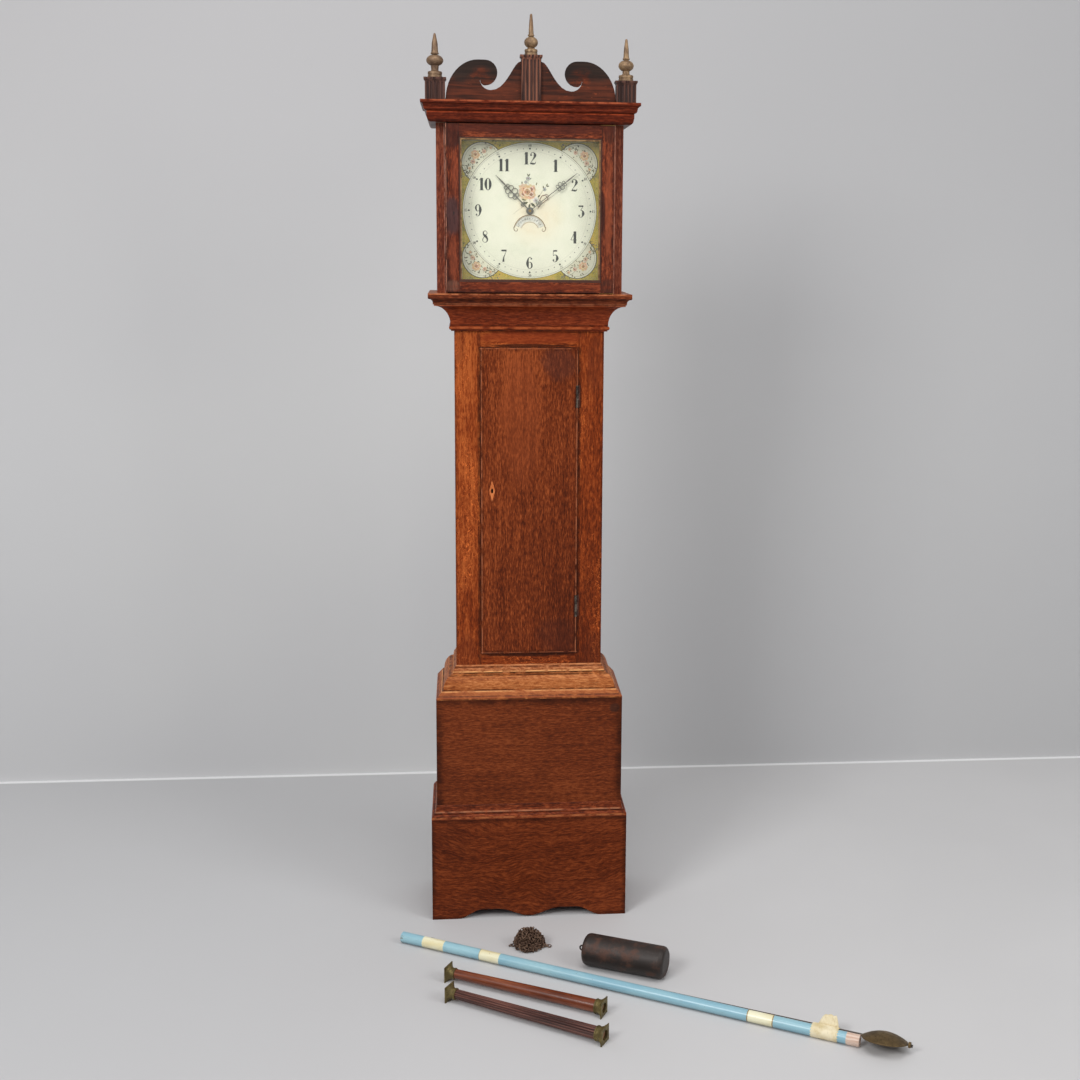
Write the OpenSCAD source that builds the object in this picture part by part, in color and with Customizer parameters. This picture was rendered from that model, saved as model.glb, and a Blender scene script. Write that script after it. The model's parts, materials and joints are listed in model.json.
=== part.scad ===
// Thirty-hour longcase clock in oak with a square painted dial.
// The origin is on the floor, in the middle of the foot of the backboard. The wall is
// the plane Y = 0, the front of the clock faces -Y and +Z is up.

/* [Case widths] */
// Width of the trunk
trunk_w = 351; // [315:1:425]
// How far the base stands out from the trunk, at the front and at each side
base_over = 48.5; // [42:0.5:60]
// How far the plinth boards stand out from the base
plinth_over = 13; // [9:0.5:22]
// How far the sides of the hood stand out from the trunk
hood_over = 38.5; // [34:0.5:45]
// How far the door of the hood reaches past each side of the trunk
hood_door_over = 17; // [10:0.5:19]

/* [Case depths] */
// Distance from the wall to the front of the trunk
trunk_d = 160; // [150:1:190]
// Distance from the wall to the front of the set back stiles of the hood
hood_d = 176; // [174:1:200]
// How far the front of the hood door stands before the set back stiles
hood_door_step = 31; // [31:1:36]

/* [Case heights] */
// Height of the plinth boards
plinth_h = 256; // [200:1:320]
// Height of the base above the plinth boards
base_h = 298; // [220:1:360]
// Height of the moulding between the base and the trunk
base_mould_h = 53; // [45:1:64]
// Length of the trunk between its mouldings
trunk_h = 827.5; // [790:0.5:1000]
// Height of the throat moulding under the hood
throat_h = 62.5; // [55:0.5:75]
// Height of the frame at the foot of the hood
hood_foot_h = 25.5; // [22:0.5:30]
// Clear height between the foot frame and the cornice of the hood
hood_open_h = 382; // [366:1:400]
// Height of the cornice
cornice_h = 47.3; // [42:0.1:57]

/* [Boards] */
// Thickness of the backboard
back_t = 13; // [10:0.5:16]
// Thickness of the side boards
side_t = 10; // [8:0.5:12]
// Thickness of the front boards
front_t = 18; // [15:0.5:22]
// Thickness of the seatboard
seat_t = 20; // [16:1:24]

/* [Trunk door] */
// Width of the trunk door
door_w = 233; // [200:1:250]
// Height of the trunk door
door_h = 743; // [620:1:760]
// Height of the foot of the door above the base moulding
door_rise = 47.5; // [40:0.5:60]
// How far the door stands before the trunk
door_proud = 8; // [7:0.5:10]
// Height of the lower hinge above the foot of the door
hinge_low = 92; // [60:1:140]
// Distance of the foot of the upper hinge below the top of the door
hinge_high = 142.5; // [110:0.5:190]
// Height of the lock above the foot of the door
lock_rise = 402; // [330:1:460]
// Length of each hinge
hinge_l = 52; // [40:1:70]

/* [Dial] */
// Side of the square dial plate
dial_s = 330; // [326:1:334]
// Side of the clear glass
glass_s = 312; // [300:1:314]
// Length of the hour hand
hour_hand_l = 112; // [95:1:118]
// Length of the minute hand
minute_hand_l = 139.5; // [125:0.5:145]
// Angle of the hour hand from twelve, clockwise
hour_angle = -44.5; // [-180:0.5:180]
// Angle of the minute hand from twelve, clockwise
minute_angle = 51.6; // [-180:0.1:180]

/* [Movement] */
// Width of the movement plates
plate_w = 140; // [138:1:150]
// Height of the movement plates
plate_h = 155; // [152:1:165]
// Thickness of the movement plates
plate_t = 3; // [2.5:0.1:3.5]
// Radius of the bell
bell_r = 46; // [40:1:47]
// Gap round every running pivot
running_gap = 0.06; // [0.04:0.01:0.1]

/* [Hood crest] */
// Height of the fluted block in the middle
middle_block_h = 100; // [86:1:110]
// Height of the two fluted blocks at the corners
corner_block_h = 48; // [40:1:60]
// Width of a fluted block
block_w = 44.5; // [38:0.5:50]

/* [Loose pieces] */
// Length of a hood column over its caps
column_l = 381; // [360:1:400]
// Side of the square plate on a column cap
column_plate = 36; // [34:1:44]
// Length of the carrying pole
pole_l = 1096; // [900:1:1200]
// Radius of the carrying pole
pole_r = 12.5; // [10:0.5:15]
// Radius of the pendulum bob
bob_r = 48; // [40:1:55]
// Radius of the driving weight
weight_r = 36; // [30:1:40]
// Length of the driving weight without its eye
weight_l = 195; // [160:1:220]
// Radius of the heap of chain
heap_r = 41; // [32:1:46]

/* [Hidden] */
$fn = 48;

// Colours
oak = [0.42, 0.20, 0.11];
oak_light = [0.55, 0.29, 0.15];
oak_dark = [0.25, 0.12, 0.08];
bare_oak = [0.62, 0.48, 0.34];
brass = [0.66, 0.52, 0.28];
dark_brass = [0.36, 0.29, 0.18];
iron = [0.22, 0.20, 0.19];
steel = [0.45, 0.46, 0.48];
gilt = [0.62, 0.54, 0.36];

// Heights of the case from the floor up
base_top = plinth_h + base_h;
trunk_foot = base_top + base_mould_h;
throat_foot = trunk_foot + trunk_h;
hood_foot = throat_foot + throat_h;
hood_floor = hood_foot + hood_foot_h;
cornice_foot = hood_floor + hood_open_h;
cornice_top = cornice_foot + cornice_h;
sky = cornice_top + 300;

// Half widths and depths
trunk_x = trunk_w / 2;
base_x = trunk_x + base_over;
plinth_x = base_x + plinth_over;
hood_x = trunk_x + hood_over;
hood_door_x = trunk_x + hood_door_over;
base_d = trunk_d + base_over;
plinth_d = base_d + plinth_over;
frame_back = trunk_d - front_t;
touch = 0.3;
boards_foot = 20;
frame_tail = 34;

// Throat and hood frame: the frame slides on the throat moulding and clears the cheeks
frame_clear = 4.5;
frame_x = trunk_x + frame_clear;
frame_d = trunk_d + frame_clear;
throat_reach = base_over - 3;

// Hood door and what lies behind it
door_front_d = hood_d + hood_door_step;
foot_reach = door_front_d + 12 - frame_d;
hood_door_t = 19.7;
door_back_d = door_front_d - hood_door_t;
mask_t = 10;
mask_front_d = hood_d + mask_t;
hood_door_foot = hood_floor + 2.5;
hood_door_top = cornice_foot - 2;
strap_t = 1;
hood_pivot = [hood_door_x - 3, door_front_d - 6];
hood_pivot_r = 2;

// Dial and glass
dial_z = hood_floor + 188.5;
dial_t = 1.5;
dial_front_d = hood_d - 9;
dial_back_d = dial_front_d - dial_t;
dial_x = dial_s / 2;
glass_x = glass_s / 2;
slip_w = 6;
slip_x = glass_x + slip_w;
slip_t = 8;
glass_t = 2;
glass_d = door_front_d - slip_t;
date_z = dial_z - 46;
date_r = 39.5;
date_window = [22, 35];

// Movement stations, as distances from the wall
front_plate_d = dial_back_d - 42;
between = 55;
back_plate_d = front_plate_d - plate_t - between;
plate_rear_d = back_plate_d - plate_t;
inner_front_d = front_plate_d - plate_t;
seat_top = dial_z - 82;
end_float = 0.3;

// Arbors, as X and Z seen from the front
hands = [0, dial_z];
great = hands + [30, -37];
strike_great = hands + [-30, -37];
great_teeth = 72;
leaves = 6;
great_m = 1;
second = polar(great, great_m * (great_teeth + leaves) / 2, 101.8);
second_teeth = 78;
second_m = 0.8;
escape = polar(second, second_m * (second_teeth + leaves) / 2, 126.5);
escape_r = 18;
pallet_axis = escape + [0, escape_r * sqrt(2)];
strike_teeth = 78;
strike_m = 1;
hoop = polar(strike_great, strike_m * (strike_teeth + leaves) / 2, 101);
hoop_teeth = 60;
hoop_m = 0.8;
fly_axis = polar(hoop, hoop_m * (hoop_teeth + leaves) / 2, 63);
hammer_axis = hands + [-66, -9];
minute_axis = hands + [-32, 21];
drive_teeth = 52;
cannon_leaves = 20;
drive_m = 2 * norm(great - hands) / (drive_teeth + cannon_leaves);
motion_teeth = 36;
motion_m = norm(minute_axis - hands) / motion_teeth;
hour_leaves = 7;
hour_teeth = 84;
hour_m = 2 * norm(minute_axis - hands) / (hour_leaves + hour_teeth);
report_leaves = 8;
count_teeth = 48;
report_m = 0.9;
count_axis = polar(strike_great, report_m * (report_leaves + count_teeth) / 2, 130);
pillar_spots = [[-64, -70], [64, -70], [-56, 66], [56, 66]];
dial_foot_spots = [[-52, -71], [52, -71], [-45, 59], [45, 59]];
dial_foot_r = 2.5;
pillar_r = 5;
tenon_r = 3;
arbor_r = 3;
thin_arbor_r = 1.5;
pivot_r = 1;
stout_pivot_r = 1.5;
stud_r = 2;
cannon_r = 3.2;
hour_pipe_r = 4.6;
minute_stud_r = 1.25;
wheel_t = 2;
great_t = 3;
sprocket_d = [front_plate_d - 33.5, front_plate_d - 19.5];
sprocket_r = 14;
chain_slot = 14;
pin_circle = 36.4;
bell_mouth = seat_top + plate_h + 16;
bell_d = (front_plate_d + plate_rear_d) / 2;
bell_h = 36;

// Depth stations of the wheels
great_wheel_d = front_plate_d - 12.5;
second_wheel_d = front_plate_d - 41.5;
escape_wheel_d = front_plate_d - 53.5;
strike_wheel_d = front_plate_d - 50.5;
hoop_wheel_d = front_plate_d - 13.5;
drive_wheel_d = front_plate_d + 4;
motion_wheel_d = front_plate_d + 12.5;
hour_wheel_d = front_plate_d + 21.5;
hour_hand_d = dial_front_d + 2;
minute_hand_d = dial_front_d + 5.5;
hand_t = 1;
hand_gap = 0.02;

// Tooth proportions, as shares of the module and of the pitch
wheel_tooth = [0.7, 1.0, 0.26, 0.12];
leaf_tooth = [0.6, 1.1, 0.17, 0.10];

// Trunk door
door_x = door_w / 2;
door_foot = trunk_foot + door_rise;
door_top = door_foot + door_h;
lip = 8;
door_side_gap = 1.5;
door_back_gap = 1.2;
door_front_y = trunk_d + door_proud;
hole_x = door_x - lip + door_side_gap;
door_t = 22;
ovolo_w = 11;
hinge_axis = [door_x - 3.5, door_front_y + 0.4];
knuckle_r = 2.6;
hinge_pin_r = 1.2;
hinge_zs = [door_foot + hinge_low, door_top - hinge_high];
lock_z = door_foot + lock_rise;
keyhole_in = 28.2;
lock_x = -door_x + keyhole_in;
lock_left = -door_x + lip + 2.5;
lock_w = 42;
lock_h = 50;
lock_t = 12;
bolt_h = 8;
bolt_t = 4;
bolt_l = 30;
bolt_gap = 0.3;
bolt_z = lock_z + 10;
bolt_front_d = frame_back - 2 * bolt_gap;
bolt_back_d = bolt_front_d - bolt_t;

// Crest of the hood
cornice_x = hood_x - 2;
cornice_d = hood_d + 20.3;
crest_front_d = cornice_d + 31.2;
block_depth = 30;
board_front_d = cornice_d + 25.2;
pediment_t = 9;

// Places of the loose pieces on the floor
pole_start = [-304.6, -328.5];
pole_turn = -28.6;
bob_s = pole_l + bob_r + 0.5;
bob_tip = 17;
rim_r = 1.5;
nut_from = bob_r + 1.5;
thread_r = 1.8;

// The rod lies on the pole beside the bob, and its far end slopes away and down to the floor
rod_r = 2.5;
rod_side = pole_r + 0.5;
rod_z = pole_r + sqrt(pow(pole_r + rod_r + touch, 2) - pow(rod_side, 2));
rod_top = 100 - bob_s;
rod_block = [9, 6, 12];
strip_l = 30;
rod_run = strip_l + rod_block[0] / 2 - 1 - rod_top;
rod_dip = asin((rod_z - rod_block[2] / 2 - 0.35) / rod_run);
rod_stray = 10;
rod_swing = asin(rod_stray / rod_run);

// Places and sizes of the columns, the weight and the heap
column_starts = [[-196.4, -513.7], [-193.3, -601.7]];
column_turns = [-28, -31.5];
shaft_r = [10.6, 14];
shaft_foot = 6;
cap_l = 20;
weight_start = [118, -461];
weight_turn = -25.1;
heap_at = [-8, -374];
heap_h = 50;

// Point at a distance and an angle from another
function polar(from, r, a) = from + r * [cos(a), sin(a)];

// Points along an arc, an ellipse when the two radii differ
function arc(c, rx, ry, a0, a1, steps) =
    [for (i = [0:steps]) let (a = a0 + (a1 - a0) * i / steps) c + [rx * cos(a), ry * sin(a)]];

// Points along a cubic curve
function curve(p0, p1, p2, p3, steps) =
    [for (i = [1:steps]) let (t = i / steps, s = 1 - t)
        s * s * s * p0 + 3 * s * s * t * p1 + 3 * s * t * t * p2 + t * t * t * p3];

// Outline of a toothed wheel: tooth is [addendum, dedendum, foot, tip]
function teeth(n, m, tooth, phase) =
    [for (i = [0:n - 1]) for (side = [[-1, 1, 2], [-1, 0, 3], [1, 0, 3], [1, 1, 2]])
        let (r = m * n / 2 + (side[1] == 0 ? tooth[0] * m : -tooth[1] * m),
             a = phase + (i + side[0] * tooth[side[2]]) * 360 / n)
        r * [cos(a), sin(a)]];

// Direction from one arbor to another
function heading(a, b) = atan2(b[1] - a[1], b[0] - a[0]);

// Phase of the second of two meshed wheels, when the first has a tooth on its own +X
function meshed(n1, n2, a) = a + 180 - 180 / n2 + a * n1 / n2;

// Board between two X, two depths from the wall and two heights
module board(x, d, z) {
    translate([x[0], -d[1], z[0]])
        cube([x[1] - x[0], d[1] - d[0], z[1] - z[0]]);
}

// The same board on both sides of the middle
module board_pair(x, d, z) {
    board(x, d, z);
    mirror([1, 0, 0])
        board(x, d, z);
}

// Flat piece drawn in X and Z, between two depths from the wall
module sheet(d) {
    translate([0, -d[0], 0])
        rotate([90, 0, 0])
            linear_extrude(d[1] - d[0])
                children();
}

// Round bar that runs from one depth to another at a point in X and Z
module bar(at, r, d) {
    translate([at[0], -d[0], at[1]])
        rotate([90, 0, 0])
            cylinder(r = r, h = d[1] - d[0]);
}

// Moulding wrapped round the front and both sides of a box, mitred at the corners
module wrapped(half_w, depth, reach) {
    outer_x = half_w + reach;
    outer_d = depth + reach;
    intersection() {
        translate([outer_x, -depth, 0])
            rotate([90, 0, -90])
                linear_extrude(2 * outer_x)
                    children();
        linear_extrude(sky)
            polygon([[-outer_x, -outer_d], [outer_x, -outer_d], [half_w, -depth], [-half_w, -depth]]);
    }
    for (flip = [0, 1])
        mirror([flip, 0, 0])
            intersection() {
                translate([half_w, 0, 0])
                    rotate([90, 0, 0])
                        linear_extrude(outer_d)
                            children();
                linear_extrude(sky)
                    polygon([[half_w, 0], [outer_x, 0], [outer_x, -outer_d], [half_w, -depth]]);
            }
}

// Toothed wheel with spokes, drawn round its own centre
module crossed_wheel(n, m, phase, hub, spokes) {
    rim_in = m * (n / 2 - wheel_tooth[1]) - 3.2;
    difference() {
        polygon(teeth(n, m, wheel_tooth, phase));
        difference() {
            circle(rim_in);
            circle(hub);
            for (i = [0:spokes - 1])
                rotate(i * 360 / spokes)
                    translate([0, -1.6])
                        square([rim_in + 1, 3.2]);
        }
    }
}

// Plain arbor between the plates with a pivot at each end
module arbor(at, r, pivot) {
    bar(at, r, [back_plate_d + end_float, inner_front_d - end_float]);
    bar(at, pivot, [plate_rear_d, front_plate_d]);
}

// Pinion leaves on an arbor
module pinion(at, n, m, phase, d) {
    translate([at[0], 0, at[1]])
        sheet(d)
            polygon(teeth(n, m, leaf_tooth, phase));
}

// Chain sprocket with a grooved drum and spikes
module sprocket(at) {
    d0 = sprocket_d[0];
    d1 = sprocket_d[1];
    bar(at, sprocket_r, [d0, d0 + 2.5]);
    bar(at, sprocket_r, [d1 - 2.5, d1]);
    bar(at, sprocket_r - 4, [d0, d1]);
    for (i = [0:7])
        translate([at[0], -(d0 + d1) / 2, at[1]])
            rotate([0, i * 45, 0])
                cylinder(r = 1, h = sprocket_r - 1);
}

// Height of the cut away foot of the plinth, at a distance from the middle
function foot_cut(x) =
    let (rise = 23.5, drop = 4, foot_in = plinth_x - 60, shoulder = foot_in - 62)
    x < 75 ? drop + (rise - drop) * (1 - cos(180 * x / 75)) / 2 :
    x < shoulder ? rise :
    rise * (1 + cos(180 * (x - shoulder) / (foot_in - shoulder))) / 2;

// Case: plinth, base and trunk
module plinth_front() {
    foot_in = plinth_x - 60;
    steps = 30;
    wave = [for (i = [-steps:steps]) let (x = foot_in * i / steps) [x, foot_cut(abs(x))]];
    color(oak)
        sheet([base_d, plinth_d])
            polygon(concat([[plinth_x, plinth_h], [-plinth_x, plinth_h], [-plinth_x, 0]], wave,
                [[plinth_x, 0]]));
}

module lower_side_boards() {
    color(oak) {
        board_pair([base_x - side_t, base_x], [0, base_d - front_t], [boards_foot, base_top]);
        board_pair([base_x, plinth_x], [0, base_d], [0, plinth_h]);
    }
}

module plinth_moulding() {
    over = plinth_over;
    color(oak)
        wrapped(base_x, base_d, over + 1)
            translate([0, plinth_h])
                polygon(concat([[0, 0], [over, 0], [over, 4]],
                    arc([over - 5, 4], 5, 8, 0, 90, 5),
                    [[over - 5, 14]],
                    arc([over - 5.5, 28], over - 7, 14, -90, -180, 5),
                    [[1.5, 31], [0, 34]]));
}

module base_front() {
    color(oak)
        board([-base_x, base_x], [base_d - front_t, base_d], [boards_foot, base_top]);
}

module base_moulding() {
    over = base_over;
    shoulder = over - 16;
    color(oak_light)
        wrapped(trunk_x, trunk_d, over + 1)
            translate([0, base_top])
                polygon(concat([[0, 0], [over, 0], [over, 3], [over - 1, 4.5]],
                    [[shoulder + 1.5, 18.5], [shoulder, 18.5]],
                    arc([8, 19], shoulder - 9, base_mould_h - 19, 0, 90, 8),
                    [[8, base_mould_h], [0, base_mould_h]]));
}

module backboard() {
    neck = base_top;
    ears = hood_floor + 1.5;
    ear_x = hood_x - side_t - 0.5;
    base_in = base_x - side_t;
    color(bare_oak)
        sheet([0, back_t])
            polygon([[-base_in, 0], [base_in, 0], [base_in, neck], [trunk_x, neck],
                [trunk_x, ears], [ear_x, ears], [ear_x, cornice_foot - 1], [-ear_x, cornice_foot - 1],
                [-ear_x, ears], [-trunk_x, ears], [-trunk_x, neck], [-base_in, neck]]);
}

module trunk_sides() {
    color(oak)
        board_pair([trunk_x - side_t, trunk_x], [back_t, frame_back],
            [base_top - frame_tail, seat_top - seat_t]);
}

module trunk_frame() {
    foot = base_top - frame_tail;
    color(oak_light) {
        board_pair([hole_x, trunk_x], [frame_back, trunk_d], [foot, hood_foot]);
        board([-hole_x, hole_x], [frame_back, trunk_d], [foot, door_foot + lip - door_side_gap]);
        board([-hole_x, hole_x], [frame_back, trunk_d], [door_top - lip + door_side_gap, hood_foot]);
    }
}

module trunk_foot_moulding() {
    color(oak_light)
        wrapped(trunk_x, trunk_d, 9)
            translate([0, trunk_foot])
                polygon(concat([[0, 0], [8, 0], [8, 5]],
                    arc([3, 5], 4.5, 9, 0, 90, 5),
                    [[3, 16], [1.5, 19], [0, 20]]));
}

module throat_moulding() {
    bead_z = 2.5;
    cove_z = 14.5;
    color(oak_light)
        wrapped(trunk_x, trunk_d, throat_reach + 1)
            translate([0, throat_foot])
                polygon(concat([[0, 0], [7, 0], [7, bead_z]],
                    arc([7, bead_z + 5], 5, 5, -90, 90, 6),
                    [[8.5, bead_z + 10], [8.5, cove_z]],
                    arc([throat_reach, cove_z], throat_reach - 8.5, throat_h - cove_z - 3, 180, 90, 10),
                    [[throat_reach, throat_h], [0, throat_h]]));
}

module seatboard() {
    color(bare_oak)
        difference() {
            board([-trunk_x, trunk_x], [plate_rear_d - 4.5, front_plate_d + 11.5],
                [seat_top - seat_t, seat_top]);
            for (x = [great[0], strike_great[0]])
                board([x - chain_slot, x + chain_slot], sprocket_d, [seat_top - seat_t - 1, seat_top + 1]);
        }
}

// Hinges of the trunk door: the middle knuckle and the pin stay with the case
module case_hinge_leaves() {
    x = hinge_axis[0];
    d = hinge_axis[1];
    third = hinge_l / 3;
    leaf_x = door_x + 0.7;
    color(iron)
        for (z = hinge_zs) {
            translate([x, -d, z + third + touch])
                cylinder(r = knuckle_r, h = third - 2 * touch);
            translate([x, -d, z])
                cylinder(r = hinge_pin_r, h = hinge_l);
            board([x, leaf_x + 1.2], [d - 1.2, d], [z + third + touch, z + 2 * third - touch]);
            board([leaf_x, leaf_x + 1.2], [trunk_d, d], [z + third + touch, z + 2 * third - touch]);
            board([leaf_x, leaf_x + 3], [trunk_d, trunk_d + 1.2], [z, z + hinge_l]);
        }
}

// Trunk door, with a lip all round and an ovolo on its edge
module trunk_door() {
    in_x = door_x - lip;
    back = door_front_y - door_t;
    lip_back = trunk_d + door_back_gap;
    steps = 5;
    color(oak)
        difference() {
            union() {
                board([-in_x, in_x], [back, lip_back], [door_foot + lip, door_top - lip]);
                board([-door_x, door_x], [lip_back, door_front_y - 3.6], [door_foot, door_top]);
                for (i = [1:steps])
                    let (a = 90 * (i - 0.5) / steps, inset = ovolo_w * (1 - cos(a)),
                         d0 = door_front_y - 3.6 + 3.6 * (i - 1) / steps)
                    board([-door_x + inset, door_x - inset], [d0, d0 + 3.6 / steps],
                        [door_foot + inset, door_top - inset]);
            }
            for (z = hinge_zs)
                board([door_x - 7.5, door_x + 1], [door_front_y - 2.8, door_front_y + 1],
                    [z - 0.5, z + hinge_l + 0.5]);
            translate([lock_x, -back + 1, lock_z + 3])
                rotate([90, 0, 0])
                    cylinder(r = 1.8, h = door_t + 2);
            board([lock_x - 0.9, lock_x + 0.9], [back - 1, door_front_y + 1], [lock_z - 4, lock_z + 3]);
        }
}

module door_hinge_leaves() {
    x = hinge_axis[0];
    d = hinge_axis[1];
    third = hinge_l / 3;
    floor_d = door_front_y - 2.8;
    color(iron)
        for (z = hinge_zs)
            difference() {
                union() {
                    for (z0 = [z, z + 2 * third])
                        translate([x, -d, z0])
                            cylinder(r = knuckle_r, h = third);
                    board([door_x - 7, x - knuckle_r - touch], [floor_d, floor_d + 1.4],
                        [z, z + hinge_l]);
                    for (z0 = [z, z + 2 * third])
                        board([door_x - 7, x], [floor_d, floor_d + 1.4], [z0, z0 + third]);
                }
                translate([x, -d, z - 1])
                    cylinder(r = hinge_pin_r + running_gap, h = hinge_l + 2);
            }
}

// Rim lock on the back of the trunk door, with its bolt
module lock_case() {
    back = door_front_y - door_t;
    color(iron)
        difference() {
            board([lock_left, lock_left + lock_w], [back - lock_t, back],
                [lock_z - lock_h / 2, lock_z + lock_h / 2]);
            board([lock_left - 1, lock_left + bolt_l + 1],
                [bolt_back_d - bolt_gap, bolt_front_d + bolt_gap],
                [bolt_z - bolt_gap, bolt_z + bolt_h + bolt_gap]);
            board([lock_x - 0.9, lock_x + 0.9], [back - 4, back + 1], [lock_z - 4, lock_z + 3]);
        }
}

module lock_bolt() {
    color(brass)
        board([lock_left, lock_left + bolt_l], [bolt_back_d, bolt_front_d], [bolt_z, bolt_z + bolt_h]);
}

// Hood
module hood_base_frame() {
    base_reach = throat_reach;
    color(oak)
        difference() {
            wrapped(frame_x, frame_d, foot_reach + 1)
                translate([0, hood_foot])
                    polygon(concat([[0, touch], [base_reach - 2, touch], [base_reach - 2, 4]],
                        arc([foot_reach - 2, 4], foot_reach - base_reach, 9, 180, 90, 5),
                        [[foot_reach, 14.5], [foot_reach, hood_foot_h], [0, hood_foot_h]]));
            translate([hood_pivot[0], -hood_pivot[1], hood_floor - 6])
                cylinder(r = hood_pivot_r + running_gap, h = 7);
        }
}

module hood_sides() {
    color(oak)
        board_pair([hood_x - side_t, hood_x], [0, hood_d - front_t], [hood_floor, cornice_foot]);
}

module hood_front_stiles() {
    inner = frame_x;
    bead_r = 1.6;
    color(oak)
        for (flip = [0, 1])
            mirror([flip, 0, 0]) {
                board([inner, hood_x], [hood_d - front_t, hood_d], [hood_floor, cornice_foot]);
                translate([hood_door_x + 2.4, -hood_d, hood_floor])
                    cylinder(r = bead_r, h = hood_open_h, $fn = 24);
            }
}

module hood_mask() {
    outer = hood_door_x - 2.5;
    hole = glass_x + 4;
    color(oak_dark)
        difference() {
            board([-outer, outer], [hood_d, mask_front_d], [hood_floor, cornice_foot]);
            board([-hole, hole], [hood_d - 1, mask_front_d + 1], [dial_z - hole, dial_z + hole]);
        }
}

module hood_top_board() {
    color(bare_oak)
        board([-cornice_x, cornice_x], [0, cornice_d], [cornice_foot, cornice_foot + side_t]);
}

module cornice() {
    h = cornice_h;
    reach = 35.2;
    color(oak)
        difference() {
            wrapped(cornice_x, cornice_d, reach + 1)
                translate([0, cornice_foot])
                    polygon(concat([[0, 0], [13.5, 0]],
                        arc([13.5, 12], 7.5, 12, -90, 0, 5),
                        [[21.8, 14], [21.8, 22], [20.8, 23.6]],
                        arc([20.8, 31.6], 7.5, 8, -90, 0, 4),
                        arc([reach - 3, 31.6], 3.6, h - 39.5, 180, 90, 4),
                        [[reach, h - 7], [reach, h], [0, h]]));
            translate([hood_pivot[0], -hood_pivot[1], cornice_foot - 1])
                cylinder(r = hood_pivot_r + running_gap, h = 7);
        }
}

// One scrolled half of the pediment, drawn to the right of the middle block
module pediment() {
    top = 88.2;
    outer = cornice_x + 2 - block_w / 2;
    head = [103, 60.5];
    head_r = 27.6;
    rise_x = 118;
    color(oak_dark)
        for (flip = [0, 1])
            mirror([flip, 0, 0])
                translate([0, 0, cornice_top])
                    sheet([board_front_d - pediment_t, board_front_d])
                        polygon(concat([[block_w / 2, 0]],
                            [[outer, 0]],
                            arc([rise_x, 0], outer - rise_x - 1, top, 3, 90, 12),
                            arc(head, head_r, head_r, 90, 270, 12),
                            arc(head - [0, 17.1], 10.5, 10.5, -75, 0, 5),
                            arc([90, 47.5], 24.9, 24.9, -6, -90, 7),
                            curve([90, 22.6], [54, 22.6], [40, 85.8], [block_w / 2 + 1, 85.8], 9),
                            [[block_w / 2, 85.8]]));
}

// Fluted block with a stepped cap, standing on the cornice
module fluted_block(h) {
    cap_h = 7;
    half = block_w / 2;
    pitch = block_w / 5.5;
    difference() {
        board([-half, half], [crest_front_d - block_depth, crest_front_d], [0, h - cap_h]);
        for (i = [-2:2]) {
            translate([i * pitch, -crest_front_d - 0.6, -1])
                cylinder(r = 2.6, h = h - cap_h - 2, $fn = 24);
        }
        for (side = [-1, 1])
            for (i = [-1:1])
                translate([side * (half + 0.6), -crest_front_d + block_depth / 2 + i * pitch, -1])
                    cylinder(r = 2.6, h = h - cap_h - 2, $fn = 24);
    }
    board([-half - 1.2, half + 1.2], [crest_front_d - block_depth, crest_front_d + 1.2],
        [h - cap_h, h - 4.5]);
    board([-half - 2.8, half + 2.8], [crest_front_d - block_depth, crest_front_d + 2.8],
        [h - 4.5, h]);
}

module finial_blocks() {
    color(oak_dark)
        translate([0, 0, cornice_top]) {
            fluted_block(middle_block_h);
            for (side = [-1, 1])
                translate([side * hood_x, 0, 0])
                    fluted_block(corner_block_h);
        }
}

// Turned finial: drum, neck, ball, collar and spike
module finial(base_r, ball_r, ball_z, spike_r, h) {
    drum_h = 13;
    neck_r = 8;
    ball_h = 12.8;
    collar_z = ball_z + 15;
    rotate_extrude($fn = 36)
        polygon(concat([[0, 0], [base_r, 0], [base_r, 4.5], [base_r - 1, 5.2], [base_r - 1, 6.2],
            [base_r, 7], [base_r, drum_h - 1], [base_r - 1.2, drum_h]],
            arc([base_r - 1.2, drum_h + 3.4], base_r - 1.2 - neck_r, 3.4, -90, -180, 4),
            arc([0, ball_z], ball_r, ball_h, -62, 62, 12),
            [[4.6, collar_z - 2.4], [spike_r + 1.6, collar_z - 1.4], [spike_r + 1.9, collar_z + 0.6],
            [spike_r + 0.2, collar_z + 2.6], [spike_r, collar_z + 4.5], [spike_r - 1, (collar_z + h) / 2],
            [2.8, h - 3.5], [1.7, h - 0.7], [0, h]]));
}

module finials() {
    mid = -crest_front_d + block_depth / 2;
    color(gilt)
        translate([0, mid, cornice_top]) {
            translate([0, 0, middle_block_h])
                finial(14.5, 15.5, 28, 5.6, 90);
            translate([-hood_x, 0, corner_block_h])
                finial(16, 19, 37, 7.5, 96);
            translate([hood_x, 0, corner_block_h])
                finial(16.5, 17.3, 33.5, 6.3, 92.5);
        }
}

// Hood door
module hood_door_frame() {
    half = hood_door_x;
    color(oak)
        difference() {
            board([-half, half], [door_back_d, door_front_d], [hood_door_foot, hood_door_top]);
            board([-slip_x, slip_x], [door_back_d - 1, door_front_d + 1],
                [dial_z - slip_x, dial_z + slip_x]);
        }
}

module glass_slip() {
    color(gilt)
        difference() {
            board([-slip_x, slip_x], [glass_d, door_front_d - 1], [dial_z - slip_x, dial_z + slip_x]);
            board([-glass_x, glass_x], [glass_d - 1, door_front_d + 1],
                [dial_z - glass_x, dial_z + glass_x]);
        }
}

module door_glass() {
    half = slip_x - touch;
    color([0.8, 0.85, 0.85, 0.4])
        board([-half, half], [glass_d - glass_t, glass_d], [dial_z - half, dial_z + half]);
}

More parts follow.
